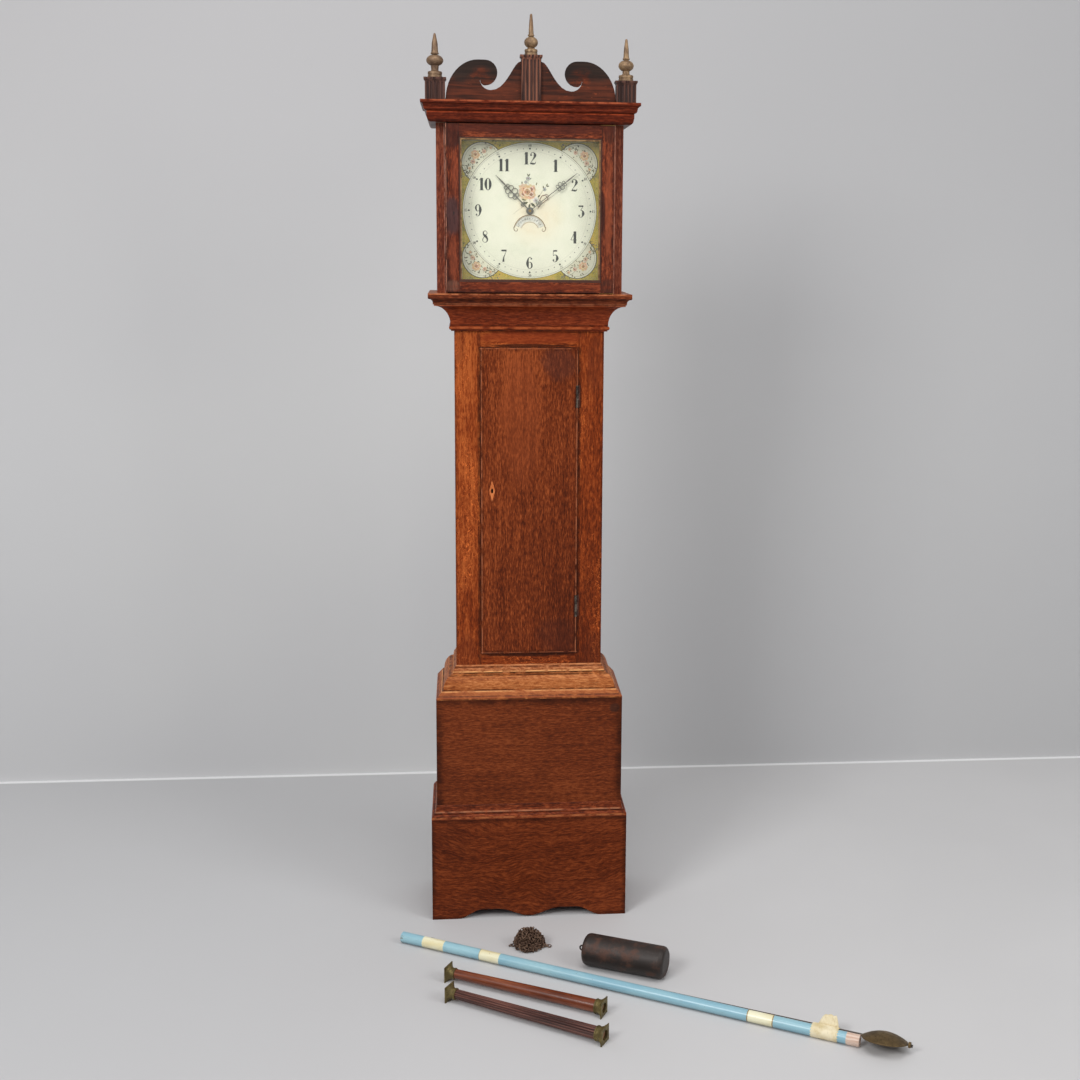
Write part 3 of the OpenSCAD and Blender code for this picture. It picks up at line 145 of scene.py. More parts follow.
class Finish:
    """A material under construction. Lengths in it are metres in the clock's own frame."""

    def __init__(self, name, start=None, turn=0.0):
        self.material = bpy.data.materials.new(name)
        self.material.use_nodes = True
        self.tree = self.material.node_tree
        self.tree.nodes.clear()
        self.place = self.node("TexCoord", pick=3)
        if start is not None:
            self.place = self.node("Mapping", {"vector_type": "TEXTURE"}, {
                "Vector": self.place, "Location": start, "Rotation": (0, 0, turn)})
        self.x = self.node("SeparateXYZ", {}, [self.place])
        self.y, self.z = (Wire(self, self.x.socket.node.outputs[i]) for i in (1, 2))
        self.colour = None

    def node(self, kind, settings=None, sockets=(), pick=0):
        """Adds a node: its settings first, then the values or links of its sockets."""
        made = self.tree.nodes.new("ShaderNode" + kind)
        for name, value in (settings or {}).items():
            if name == "stops":
                ramp = made.color_ramp
                while len(ramp.elements) < len(value):
                    ramp.elements.new(0.5)
                for element, (position, tint) in zip(ramp.elements, value):
                    element.position = position
                    element.color = tint
            else:
                setattr(made, name, value)
        for name, value in sockets.items() if isinstance(sockets, dict) else enumerate(sockets):
            if isinstance(value, Wire):
                self.tree.links.new(value.socket, made.inputs[name])
            else:
                made.inputs[name].default_value = paint(value) if isinstance(value, str) else value
        return Wire(self, made.outputs[pick]) if len(made.outputs) else None

    def vector(self, x, y, z):
        return self.node("CombineXYZ", {}, [x, y, z])

    def noise(self, scale, detail=2.0, rough=0.5, stretch=EVEN, warp=0.0, place=None):
        at = self.node("Mapping", {}, {"Vector": place or self.place, "Scale": stretch})
        return self.node("TexNoise", {}, {"Vector": at, "Scale": scale, "Detail": detail,
                                          "Roughness": rough, "Distortion": warp})

    def far(self, *offsets):
        """Distance from the place at which both offsets are 0."""
        first, second = offsets
        return (first * first + second * second).power(0.5)

    def mix(self, factor, first, second):
        return self.node("Mix", {"data_type": "RGBA"}, {0: factor, 6: first, 7: second}, 2)

    def lay(self, factor, tint):
        """Lays a tint over the colour so far."""
        self.colour = self.mix(factor, self.colour, tint)

    def ramp(self, value, *stops):
        """Colour of a value: each stop is a position and a web or linear colour."""
        stops = [(at, paint(tint) if isinstance(tint, str) else tint) for at, tint in stops]
        return self.node("ValToRGB", {"stops": stops}, [value])

    def rim(self, box, soft):
        """1 at the outline of a box seen from the front, 0 further in."""
        nearest = None
        for axis in "xz":
            value = getattr(self, axis)
            near = (value - getattr(box[0], axis)).least(getattr(box[1], axis) - value)
            nearest = near if nearest is None else nearest.least(near)
        return 1 - nearest.step(0.0, soft)

    def close(self, rough, height=None, depth=0.0004, strength=0.5, metal=0.0, coat=0.0,
              **constants):
        """Ends the material in one glossy surface of the colour laid so far."""
        sockets = {"Base Color": self.colour, "Roughness": rough, "Metallic": metal,
                   "Coat Weight": coat}
        sockets.update({name.replace("_", " ").title().replace("Ior", "IOR"): value
                        for name, value in constants.items()})
        if height is not None:
            sockets["Normal"] = self.node("Bump", {}, {"Strength": strength, "Distance": depth,
                                                       "Height": height})
        self.node("OutputMaterial", {}, [self.node("BsdfPrincipled", {}, sockets)])
        return self.material


# Timber

def oak(name, tones, grain="up", board=None, patina=0.5, patina_width=0.045, fleck=0.35,
        gloss=0.46, joint=None, wave=0.0, lines=(), drift=None, scale=1.0, shine=0.10,
        patches=()):
    """Waxed oak: streaks, short dashes, open pores and pale rays, dark at the edges of its board.

    lines are (axis, place, half width, tint, amount), mostly painted highlights on crests and
    painted shade in steps and gaps; patches (x, z, half width, half height, tint, amount), most
    of them tone and some painted shadow; drift (per metre of x, per metre of z, from x, from z).
    """
    finish = Finish(name)
    x, y, z = finish.x, finish.y, finish.z
    dark, middle, light = shades(tones)
    if wave:
        bend = finish.noise(5.0, 2.0, 0.5, (1.0, 0.2, 2.0))
        laid = finish.vector(z + (bend * wave + (x.size() - 0.05).size() * -0.12), y, x)
    elif grain == "up":
        laid = finish.place
    elif grain == "across":
        laid = finish.vector(z, y, x)
    elif grain == "round":
        laid = finish.vector(z, (y + x) * 0.02, x + y)
    else:
        laid = finish.node("Mix", {"data_type": "VECTOR"},
                           {0: x.size().step(joint - 0.0004, joint + 0.0004),
                            4: finish.vector(z, y, x), 5: finish.place}, 1)

    def fibre(size, length, *more):
        return finish.noise(size * scale, *more[:2], (1, 1, length), *more[2:], laid)
    broad = fibre(9.0, 0.3, 4.0, 0.6, 0.4)
    streak = fibre(130.0, 0.05, 3.0, 0.6, 0.25)
    dash = fibre(340.0, 0.2, 3.0, 0.65, 0.25)
    pore = fibre(620.0, 0.06, 2.0, 0.6, 0.0)
    tone = (broad - 0.5) * 0.5 + (streak - 0.5) * 0.55 + (dash - 0.5) * 1.45 + 0.5
    if drift:
        tone = tone + (x - drift[2]) * drift[0] + (z - drift[3]) * drift[1]
    finish.colour = finish.ramp(tone, (0.20, dark), (0.5, middle), (0.78, light))
    pores = pore.step(0.58, 0.68) * dash.step(0.35, 0.6)
    finish.lay(pores * 0.5, scaled(dark, 0.4))
    if fleck:
        rays = fibre(70.0, 0.55, 2.0, 0.5, 1.6)
        finish.lay(rays.band(0.5, 0.006, 0.012) * broad.step(0.46, 0.62) * fleck,
                   scaled(light, 1.8))
    grime = finish.noise(26.0, 4.0, 0.65)
    for at_x, at_z, wide, high, tint, amount in patches:
        off = (((x - at_x) / wide).power(2.0) + ((z - at_z) / high).power(2.0)).power(0.5)
        spot = (1 - (off + (grime - 0.5) * 0.8).step(0.55, 1.0)) * amount
        finish.lay(spot, finish.mix(tone, scaled(paint(tint), 0.62), scaled(paint(tint), 1.38)))
    shade = finish.noise(7.0, 3.0, 0.6, (1, 1, 0.6)).step(0.54, 0.8) * 0.28
    if board is not None:
        edge = finish.rim(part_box(board) if isinstance(board, str) else board, patina_width)
        shade = shade.most((edge * (grime * 1.5)).step(0.18, 0.95) * patina)
    finish.lay(shade, scaled(dark, 0.3))
    # Lines along the board: mostly painted highlights on crests and painted shade in steps and
    # gaps
    for axis, at, half, tint, amount in lines:
        along = finish.noise(34.0, 3.0, 0.7)
        mark = getattr(finish, axis).band(at, half, half * 0.9) * along.step(0.34, 0.6)
        finish.lay(mark * amount, tint)
    specks = finish.noise(1400.0, 1.0, 0.5).step(0.74, 0.78) * grime.step(0.5, 0.7)
    finish.lay(specks * 0.3, "ba9678")
    return finish.close(gloss + (streak - 0.5) * 0.16 + shade * 0.12 + pores * 0.2,
                        streak * 0.4 + dash * 0.5 - pores * 0.8, 0.0005, 0.35,
                        coat=shine * 0.3, coat_roughness=0.3, specular_ior_level=shine)


def turned_oak(name, tones, start, turn, ridge=None):
    """Stained turning that lies along the local X of its place on the floor."""
    finish = Finish(name, start, turn)
    dark, middle, light = shades(tones)
    laid = finish.vector(finish.y, finish.z, finish.x)
    streak = finish.noise(150.0, 3.0, 0.6, (1, 1, 0.05), 0.2, laid)
    fibre = finish.noise(600.0, 2.0, 0.6, (1, 1, 0.06), 0.0, laid)
    blotch = finish.noise(14.0, 3.0, 0.6, (1, 1, 0.4), 0.0, laid)
    tone = (streak - 0.5) * 0.8 + (fibre - 0.5) * 0.5 + (blotch - 0.5) * 0.5 + 0.5
    finish.colour = finish.ramp(tone, (0.25, dark), (0.5, middle), (0.8, light))
    if ridge:
        radius, taper = ridge
        out = finish.far(finish.y, finish.z) - finish.x * taper
        # On reeded turnings: the pale crest of every reed is a painted highlight, the dark in the
        # grooves between reeds painted shade
        worn = out.step(radius - 0.0007, radius - 0.0001) * streak.step(0.42, 0.62)
        finish.lay(worn * 0.6, "7e5246")
        finish.lay((1 - out.step(radius - 0.0013, radius - 0.0006)) * 0.7, "160c0a")
    ring = finish.noise(300.0, 2.0, 0.6, (0.2, 1, 1), 0.8)
    middle_x = 0.1905
    finish.lay((finish.x - middle_x).size().step(middle_x - 0.007, middle_x - 0.0063),
               finish.mix(ring, "785440", "b2866c"))
    nicks = finish.noise(220.0, 2.0, 0.6, (0.5, 1, 1)).step(0.70, 0.73)
    finish.lay(nicks * 0.5, "2e1a14")
    return finish.close(0.28 + blotch * 0.16, streak * 0.4 + fibre * 0.4 - nicks, 0.0003, 0.3,
                        coat=0.25, coat_roughness=0.16, specular_ior_level=0.3)


def bare_boards(name, tones, grain="up"):
    """Unpolished softwood or oak, grey with dust."""
    finish = Finish(name)
    tint, deep = shades(tones)
    up = grain == "up"
    laid = finish.place if up else finish.vector(finish.z, finish.y, finish.x)
    broad = finish.noise(16.0, 3.0, 0.6, (1, 1, 0.12), 0.4, laid)
    streak = finish.noise(190.0, 3.0, 0.65, (1, 1, 0.03), 0.2, laid)
    finish.colour = finish.ramp((broad - 0.5) * 0.8 + (streak - 0.5) * 0.7 + 0.5,
                                (0.25, deep), (0.75, tint))
    stain = finish.noise(6.0, 4.0, 0.6, (1, 1, 0.7)).step(0.55, 0.75)
    finish.lay(stain * 0.4, scaled(deep, 0.4))
    board_width = 0.143
    across = finish.x * (1 / board_width) + 0.5
    board = across.math("FRACT", across)
    gap = board.band(0.0, 0.004, 0.004).most(board.band(1.0, 0.004, 0.004))
    finish.lay(gap * (0.8 if up else 0.0), "16110d")
    return finish.close(0.72, streak - gap, 0.0008, 0.5)


# Metal, paint and glass

def metal(name, tones, rough=0.38, spread=0.5, shine=1.0, scale=1.0):
    """Old metal: brushed tone, tarnish in clouds and dark grime in spots."""
    finish = Finish(name)
    finish.colour, tarnish, dirt = shades(tones)
    cloud = finish.noise(38.0 * scale, 4.0, 0.65)
    spot = finish.noise(260.0 * scale, 3.0, 0.6)
    brush = finish.noise(900.0 * scale, 2.0, 0.5, (1, 0.08, 1))
    aged = cloud.step(0.5 - 0.18 * spread - 0.1, 0.5 + 0.12)
    finish.lay(aged * 0.85, tarnish)
    spots = spot.step(0.57, 0.68)
    finish.lay(spots * 0.7, dirt)
    return finish.close(rough + aged * 0.16 + spots * 0.22 + (brush - 0.5) * 0.12,
                        spot * 0.5 + brush * 0.3, 0.0003, 0.3,
                        metal=shine - spots * 0.35 * shine)


def iron(name, tones, rough=0.6, shine=0.35, start=None, turn=0.0):
    """Dull iron with rust in patches and rubbed places."""
    finish = Finish(name, start, turn)
    finish.colour, rust, worn = shades(tones)
    cloud = finish.noise(24.0, 5.0, 0.65)
    pit = finish.noise(240.0, 3.0, 0.6)
    rubbed = finish.noise(60.0, 4.0, 0.7, (0.35, 1, 1))
    rusted = cloud.step(0.48, 0.66)
    finish.lay(rusted * 0.75, rust)
    finish.lay(rubbed.step(0.56, 0.72) * 0.55, worn)
    finish.lay(pit.step(0.62, 0.7) * 0.6, "120f0d")
    return finish.close(rough + rusted * 0.15 + (pit - 0.5) * 0.2, pit * 0.7 + cloud, 0.0006,
                        0.45, metal=shine - rusted * shine * 0.7)


def dial_ground():
    """Cream painted circle on a mottled gold ground with four white medallions."""
    finish = Finish("dial_enamel")
    x, z = finish.x, finish.z - DIAL_Z
    out = finish.far(x, z)
    mottle = finish.noise(150.0, 4.0, 0.7)
    cloud = finish.noise(26.0, 3.0, 0.6)
    finish.colour = finish.ramp((mottle - 0.5) * 0.9 + (cloud - 0.5) * 0.8 + 0.5,
                                (0.25, "766a16"), (0.45, "aa9826"), (0.60, "c2a834"),
                                (0.78, "c49642"))
    finish.lay(mottle.step(0.62, 0.68) * 0.5, "4a4e1e")
    gold = finish.colour
    finish.colour = finish.mix(cloud.step(0.35, 0.75), "e9e9d2", "e2e4cb")
    warm = 1 - finish.far(x - 0.012, z + 0.012).step(0.02, 0.085)
    finish.lay(warm * (cloud * 1.4).least(1.0) * 0.8, "eedcb8")
    finish.lay(finish.noise(70.0, 4.0, 0.7).step(0.66, 0.78) * 0.25, "c4ba96")
    crack = finish.node("TexVoronoi", {"feature": "DISTANCE_TO_EDGE"}, {
        "Vector": finish.vector(x + (mottle - 0.5) * 0.006, finish.y * 0.0,
                                z + (cloud - 0.5) * 0.01), "Scale": 70.0})
    cracks = (1 - crack.step(0.006, 0.016)) * cloud.step(0.46, 0.62)
    finish.lay(cracks * 0.16, "786e54")
    cream, finish.colour = finish.colour, gold
    medal = finish.far(x.size() - MEDAL_X, z.size() - MEDAL_Z)
    white = finish.mix(cloud.step(0.4, 0.7), "e0e0c6", "d2ceb2")
    # From below: medallions with rim and line, circle with rim and two lines, pale strip along the
    # left and top edges, back
    for factor, tint in ((1 - medal.step(0.0472, 0.0476), "34301a"),
                         (1 - medal.step(0.0455, 0.0459), white),
                         (medal.band(0.0418, 0.0003, 0.0003) * 0.55, "787054"),
                         (1 - out.step(0.1543, 0.1548), "545032"),
                         (1 - out.step(0.1534, 0.1538), cream),
                         (out.band(0.1508, 0.0003, 0.0003) * 0.6, "7e7a68"),
                         (out.band(0.1345, 0.0002, 0.0003) * 0.28, "7e7a68"),
                         ((0.0 - x).step(0.1552, 0.1556).most(z.step(0.1548, 0.1554)) * 0.7,
                          "c4c2a0"),
                         (finish.y.step(DIAL_LO.y + 0.0006, DIAL_LO.y + 0.0009),
                          finish.mix(cloud, "463a2e", "684e3a"))):
        finish.lay(factor, tint)
    outside = 1 - (1 - out.step(0.150, 0.156))
    return finish.close(0.34 + mottle * 0.1 + outside * 0.1,
                        mottle * outside + cloud * 0.4 - cracks * 0.6, 0.0003, 0.3,
                        coat=0.1, coat_roughness=0.2, specular_ior_level=0.3)


def painted_art():
    """Oil paint whose colour comes from the piece's own colours, thinned by age."""
    finish = Finish("flower_paint")
    finish.colour = finish.node("Attribute", {"attribute_name": "Tint"})
    fade = finish.noise(420.0, 3.0, 0.7)
    brush = finish.noise(900.0, 2.0, 0.6, (1, 1, 0.4))
    finish.lay(fade.step(0.55, 0.7) * 0.3, "e0dcc8")
    finish.lay(brush.step(0.55, 0.75) * 0.14, "5a4632")
    return finish.close(0.42, brush, 0.0001, 0.3)


def plain_paint(name, tones, wear):
    """A painted figure with rubbed places."""
    finish = Finish(name)
    finish.colour, worn = shades(tones)
    rub = finish.noise(330.0, 4.0, 0.7)
    finish.lay(rub.step(0.60 - wear * 0.2, 0.72) * wear, worn)
    return finish.close(0.45, rub, 0.0001, 0.2)


def pole_paint():
    """Pale blue pole with cream bands, chips, brown joints in the paint and a bare end."""
    finish = Finish("pole_blue", POLE_START, POLE_TURN)
    along = finish.x + (finish.noise(90.0, 2.0, 0.5, (0.2, 1, 1)) - 0.5) * 0.0012
    cloud = finish.noise(30.0, 4.0, 0.6, (0.3, 1, 1))
    chip = finish.noise(240.0, 4.0, 0.7, (0.6, 1, 1))
    finish.colour = finish.mix(cloud.step(0.35, 0.7), "86b2c2", "98c0ca")
    cream = finish.mix(cloud.step(0.4, 0.65), "ece8c8", "ded2a4")
    bands = along.band(0.086, 0.028, 0.0003).most(along.band(0.234, 0.025, 0.0003))
    finish.lay(bands.most(along.band(0.8825, 0.0275, 0.0003)), cream)
    seams = along.band(0.8545, 0.0009, 0.0005).most(along.band(0.9105, 0.0009, 0.0005))
    finish.lay(seams.most(along.band(0.2085, 0.0006, 0.0004) * 0.6), "967c48")
    tip = 1 - along.step(0.0, 0.014)
    chips = (chip + tip * 0.12).step(0.67, 0.70)
    finish.lay(chips * 0.85, "746046")
    dirt = finish.noise(120.0, 4.0, 0.7, (0.2, 1, 1)).step(0.56, 0.72)
    finish.lay(dirt * 0.22, "5c7070")
    # Painted shade on the underside of the pole
    finish.lay((1 - finish.z.step(-0.010, -0.002)) * 0.35, "46606c")
    grain = finish.noise(260.0, 3.0, 0.6, (0.08, 1, 1))
    bare = (along + (cloud - 0.5) * 0.006).step(1.0672, 1.0688)
    finish.lay(bare, finish.mix(grain.step(0.35, 0.7), "e2ccbc", "c4a08a"))
    return finish.close(0.30 + chips * 0.3 + dirt * 0.15 + bare * 0.3, cloud * 0.3 - chips,
                        0.0004, 0.4, coat=0.15, coat_roughness=0.2)


def tape_paper():
    """Old masking tape, yellowed and creased across the pole."""
    finish = Finish("masking_tape", POLE_START, POLE_TURN)
    crease = finish.noise(420.0, 4.0, 0.7, (1.0, 0.15, 0.15), 0.5)
    cloud = finish.noise(45.0, 4.0, 0.6)
    finish.colour = finish.mix(cloud.step(0.35, 0.7), "eadebe", "d2c092")
    # The creases are also darkened in colour as painted shade
    finish.lay(crease.step(0.56, 0.68) * 0.5, "ae9870")
    return finish.close(0.7, crease + cloud * 0.5, 0.0006, 0.6)


def clear_glass():
    """Thin old pane that shows the dial and a faint gloss."""
    finish = Finish("old_glass")
    finish.colour = paint("e2e8dc")
    wave = finish.noise(14.0, 2.0, 0.5, (1, 1, 0.5))
    dust = finish.noise(90.0, 5.0, 0.7)
    edge = finish.rim(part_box("door_glass"), 0.02)
    return finish.close(0.04 + dust * 0.05, wave, 0.002, 0.1,
                        alpha=edge * 0.04 + dust * 0.02 + 0.03, ior=1.5)


def gilt(spike_start, spike_end):
    """Dull old gilding, browner towards a spike's end and on the left finial."""
    finish = Finish("gilt_finials")
    cloud = finish.noise(80.0, 4.0, 0.65)
    spot = finish.noise(420.0, 3.0, 0.6)
    finish.colour = finish.mix(cloud.step(0.38, 0.64), "987c5c", "6e5640")
    finish.lay(finish.z.step(spike_start, spike_end) * 0.75, "745840")
    finish.lay((1 - finish.x.step(-0.15, -0.14)) * 0.5, "644c3e")
    finish.lay(spot.step(0.58, 0.68) * 0.6, "4e3a28")
    return finish.close(0.46 + cloud * 0.12, spot, 0.0004, 0.4, metal=0.5)


def slip_finish():
    """Dark slip round the glass, gilt along the sight edge except at the bottom."""
    finish = Finish("gilt_slip")
    x, z = finish.x.size(), finish.z - DIAL_Z
    cloud = finish.noise(60.0, 4.0, 0.65)
    edge = (1 - x.most(z).step(0.1588, 0.1594)) * z.step(-0.1565, -0.1558)
    finish.colour = finish.mix(edge, finish.mix(cloud, "2e160f", "542c1c"),
                               finish.mix(cloud.step(0.38, 0.64), "9e7c52", "684c32"))
    return finish.close(0.42, cloud, 0.0003, 0.4, metal=edge * 0.4)


# Mesh helpers

def new_object(name, data):
    made = bpy.data.objects.new(name, data)
    bpy.context.scene.collection.objects.link(made)
    return made


def new_mesh(name, points, faces=()):
    mesh = bpy.data.meshes.new(name)
    mesh.from_pydata([tuple(p) for p in points], [], faces)
    return mesh


def ride(name, mesh, material, body):
    """A piece with its place in its points, riding on a body."""
    piece = new_object(name, mesh)
    if not mesh.materials:
        mesh.materials.append(material)
    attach(piece, body)
    return piece


def make_piece(name, points, faces, material, body, tints=None, smooth=False):
    mesh = new_mesh(name, points, faces)
    if tints:
        layer = mesh.color_attributes.new("Tint", "FLOAT_COLOR", "CORNER")
        values = [value for face, tint in zip(faces, tints) for _ in face for value in tint]
        layer.data.foreach_set("color", values)
    mesh.validate()
    mesh.update()
    if smooth:
        mesh.shade_smooth()
    return ride(name, mesh, material, body)


def grid_faces(rows, columns, ring=False):
    """Quads between rows of points. In a ring the last column meets the first."""
    return [(i * columns + k, i * columns + j, (i + 1) * columns + j, (i + 1) * columns + k)
            for i in range(rows - 1) for k in range(columns - (not ring))
            for j in [(k + 1) % columns]]


def dress(nodes, material):
    """Gives one or more CAD nodes their finish."""
    for node in nodes.split():
        slots = NODES[node].data.materials
        if len(slots):
            for index in range(len(slots)):
                slots[index] = material
        else:
            slots.append(material)


class Painting:
    """Flat shapes painted on one another, seen from the front, in mm from a centre."""

    def __init__(self, centre_z, y=DIAL_FRONT, x=0.0, rise=0.0000004):
        self.x, self.y, self.z = x, y, centre_z
        self.points, self.faces, self.tints = [], [], []
        self.rise = rise

    def shape(self, outline, tint=None, layer=0):
        """A flat polygon, its points in turn to the left."""
        y = self.y - layer * PAINT_LAYER - len(self.faces) * self.rise
        first = len(self.points)
        self.points += [(self.x + u * MM, y, self.z + v * MM) for u, v in outline]
        self.faces.append(tuple(range(first, first + len(outline))))
        self.tints.append(tint)

    def disc(self, u, v, radius, tint=None, sides=14, layer=0):
        turns = [2 * math.pi * i / sides for i in range(sides)]
        self.shape([(u + radius * math.cos(a), v + radius * math.sin(a)) for a in turns],
                   tint, layer)

    def ribbon(self, stations, tint=None, layer=0, steps=6, smooth=True):
        """A stroke whose stations are (u, v, width)."""
        line = smooth_line(stations, steps) if smooth else stations
        sides = []
        for i, (u, v, width) in enumerate(line):
            before, after = line[max(0, i - 1)], line[min(len(line) - 1, i + 1)]
            du, dv = after[0] - before[0], after[1] - before[1]
            length = math.hypot(du, dv) or 1.0
            n_u, n_v = -dv / length * width / 2, du / length * width / 2
            sides.append(((u + n_u, v + n_v), (u - n_u, v - n_v)))
        for (a, b), (c, d) in zip(sides, sides[1:]):
            self.shape([a, b, d, c], tint, layer)

    def finish(self, name, material, body="case", slot="dial_paint"):
        return make_piece(name, self.points, self.faces, material, body,
                          self.tints if self.tints[0] else None)


def smooth_line(stations, steps):
    """Points of a curve through all the stations."""
    ends = [stations[0]] + list(stations) + [stations[-1]]
    line = []
    for near in zip(ends, ends[1:], ends[2:], ends[3:]):
        for i in range(steps):
            t = i / steps
            line.append(tuple(0.5 * (2 * q + (r - p) * t + (2 * p - 5 * q + 4 * r - s) * t * t
                                     + (3 * q - p - 3 * r + s) * t * t * t)
                              for p, q, r, s in zip(*near)))
    line.append(tuple(stations[-1]))
    return line


# Figures of the dial: strokes as (across, up, width), with the height of a figure as 1,
# then dots as (across, up, radius)

BOLD, HAIR = 0.225, 0.038
ROUND = [(0.28 + 0.185 * math.cos(a), 0.5 + 0.485 * math.sin(a),
          HAIR + (BOLD - HAIR) * abs(math.cos(a)) ** 2.2)
         for a in [2 * math.pi * i / 28 for i in range(29)]]
SIX = [(0.44, 0.86, 0.05), (0.33, 0.98, HAIR), (0.17, 0.84, 0.09), (0.10, 0.46, BOLD),
       (0.16, 0.13, 0.11), (0.29, 0.015, HAIR), (0.43, 0.13, 0.10), (0.47, 0.30, 0.14),
       (0.42, 0.49, 0.09), (0.30, 0.57, HAIR), (0.17, 0.48, HAIR), (0.13, 0.36, HAIR)]
HOOK_END = [(0.12, 0.08, HAIR), (0.09, 0.18, HAIR)]
FIGURES = {
    "0": ([ROUND], []),
    "1": ([[(0.28, 0.0, BOLD), (0.28, 1.0, BOLD)],
           [(0.10, 0.82, HAIR), (0.2, 0.90, 0.06), (0.28, 0.99, 0.1)],
           [(0.10, 0.015, HAIR), (0.46, 0.015, HAIR)]], []),
    "2": ([[(0.10, 0.76, 0.05), (0.15, 0.92, 0.05), (0.28, 0.985, HAIR), (0.42, 0.90, 0.12),
            (0.46, 0.74, BOLD), (0.38, 0.54, 0.12), (0.24, 0.34, 0.05), (0.09, 0.12, HAIR),
            (0.05, 0.03, HAIR)],
           [(0.05, 0.05, HAIR), (0.17, 0.08, 0.13), (0.34, 0.06, 0.14), (0.46, 0.08, 0.07),
            (0.51, 0.22, HAIR)]], [(0.13, 0.77, 0.075)]),
    "3": ([[(0.07, 0.94, 0.12), (0.48, 0.94, 0.12)], [(0.47, 0.94, HAIR), (0.25, 0.60, HAIR)],
           [(0.25, 0.60, HAIR), (0.40, 0.55, 0.09), (0.47, 0.33, BOLD), (0.39, 0.09, 0.08),
            (0.25, 0.015, HAIR)] + HOOK_END], [(0.13, 0.17, 0.068)]),
    "4": ([[(0.36, 0.98, HAIR), (0.02, 0.30, HAIR)], [(0.02, 0.29, HAIR), (0.54, 0.29, HAIR)],
           [(0.36, 0.0, BOLD), (0.36, 1.0, BOLD)], [(0.24, 0.015, HAIR), (0.49, 0.015, HAIR)]],
          []),
    "5": ([[(0.13, 0.94, 0.12), (0.44, 0.95, 0.12)], [(0.12, 0.97, HAIR), (0.12, 0.54, HAIR)],
           [(0.12, 0.54, HAIR), (0.27, 0.61, 0.05), (0.41, 0.53, 0.11), (0.46, 0.32, BOLD),
            (0.38, 0.09, 0.08), (0.24, 0.015, HAIR)] + HOOK_END], [(0.13, 0.17, 0.068)]),
    "6": ([SIX], [(0.42, 0.84, 0.066)]),
    "7": ([[(0.06, 0.90, HAIR), (0.12, 0.93, 0.14), (0.49, 0.94, 0.14)],
           [(0.48, 0.94, HAIR), (0.36, 0.62, 0.045), (0.26, 0.36, 0.09), (0.23, 0.14, 0.15),
            (0.23, 0.0, 0.16)]], []),
    "8": ([[(0.43, 0.84, HAIR), (0.29, 0.98, HAIR), (0.14, 0.87, 0.08), (0.15, 0.69, 0.12),
            (0.29, 0.55, BOLD), (0.42, 0.39, 0.15), (0.46, 0.22, 0.12), (0.40, 0.07, 0.06),
            (0.27, 0.015, HAIR), (0.10, 0.10, HAIR), (0.08, 0.26, 0.05), (0.18, 0.46, HAIR),
            (0.34, 0.62, HAIR), (0.45, 0.75, HAIR), (0.43, 0.84, HAIR)]], []),
    "9": ([[(0.56 - u, 1 - v, w) for u, v, w in SIX]], [(0.14, 0.16, 0.066)]),
}


def write_number(painting, number, radius, turn, height, upright=True, layer=0, steps=5):
    """Draws a number on a circle, at an angle from the right. It stands or faces outwards."""
    middle = (radius * math.cos(turn), radius * math.sin(turn))
    lean = 0.0 if upright else turn - math.pi / 2
    cos, sin = math.cos(lean), math.sin(lean)
    advance = [0.50 if c == "1" else 0.58 for c in str(number)]
    start = -sum(advance) / 2
    for c, width in zip(str(number), advance):
        shift = start - (0.03 if c == "1" else 0.0)

        def place(u, v, size):
            a, b = (u + shift) * height, (v - 0.5) * height
            return middle[0] + a * cos - b * sin, middle[1] + a * sin + b * cos, size * height
        strokes, dots = FIGURES[c]
        for stroke in strokes:
            painting.ribbon([place(*station) for station in stroke], None, layer, steps,
                            len(stroke) > 2)
        for dot in dots:
            painting.disc(*place(*dot), None, 12, layer)
        start += width


# Flower painting

PEACH = shades("d6aa7e debe94 b6865e e4cca6")
ROSE = shades("c49878 dabc9c 96664a e4ceb2")
BLUE = shades("929692 b0b2a8 6e7474 d0cec0")
LEAF = shades("5c6036 787648 424424 563c26")
BROWN = paint("865c3e")


def petal(painting, u, v, angle, reach, spread, tint, layer, rng):
    """A rounded petal that opens outwards from a point."""
    outline = [(u, v)]
    for i in range(9):
        t = -1 + i / 4
        out = reach * (1.0 - 0.22 * t * t + 0.05 * rng.uniform(-1, 1))
        a = angle + spread * t
        outline.append((u + out * math.cos(a), v + out * math.sin(a)))
    painting.shape(outline, tint, layer)


def flower(painting, u, v, radius, tints, rng, layer=4):
    """Rings of petals, each ring smaller and deeper in colour, round a dark eye."""
    for ring, (share, count, tint) in enumerate([(1.0, 7, 1), (0.78, 6, 0), (0.56, 5, 3),
                                                 (0.38, 4, 2)]):
        reach = radius * share
        for i in range(count):
            angle = 2 * math.pi * (i + 0.37 * ring) / count + rng.uniform(-0.12, 0.12)
            base = reach * 0.15
            mixed = tuple(c * rng.uniform(0.88, 1.08) for c in tints[tint][:3]) + (1.0,)
            petal(painting, u + base * math.cos(angle), v + base * math.sin(angle), angle,
                  reach, 3.7 / count, mixed, layer + ring, rng)
            side = angle + 3.0 / count
            painting.ribbon([(u + reach * out * math.cos(side), v + reach * out * math.sin(side),
                              width) for out, width in ((0.4, 0.12), (0.92, 0.3))],
                            tints[2], layer + ring, 2, False)
    painting.disc(u, v, radius * 0.14, BROWN, 10, layer + 5)


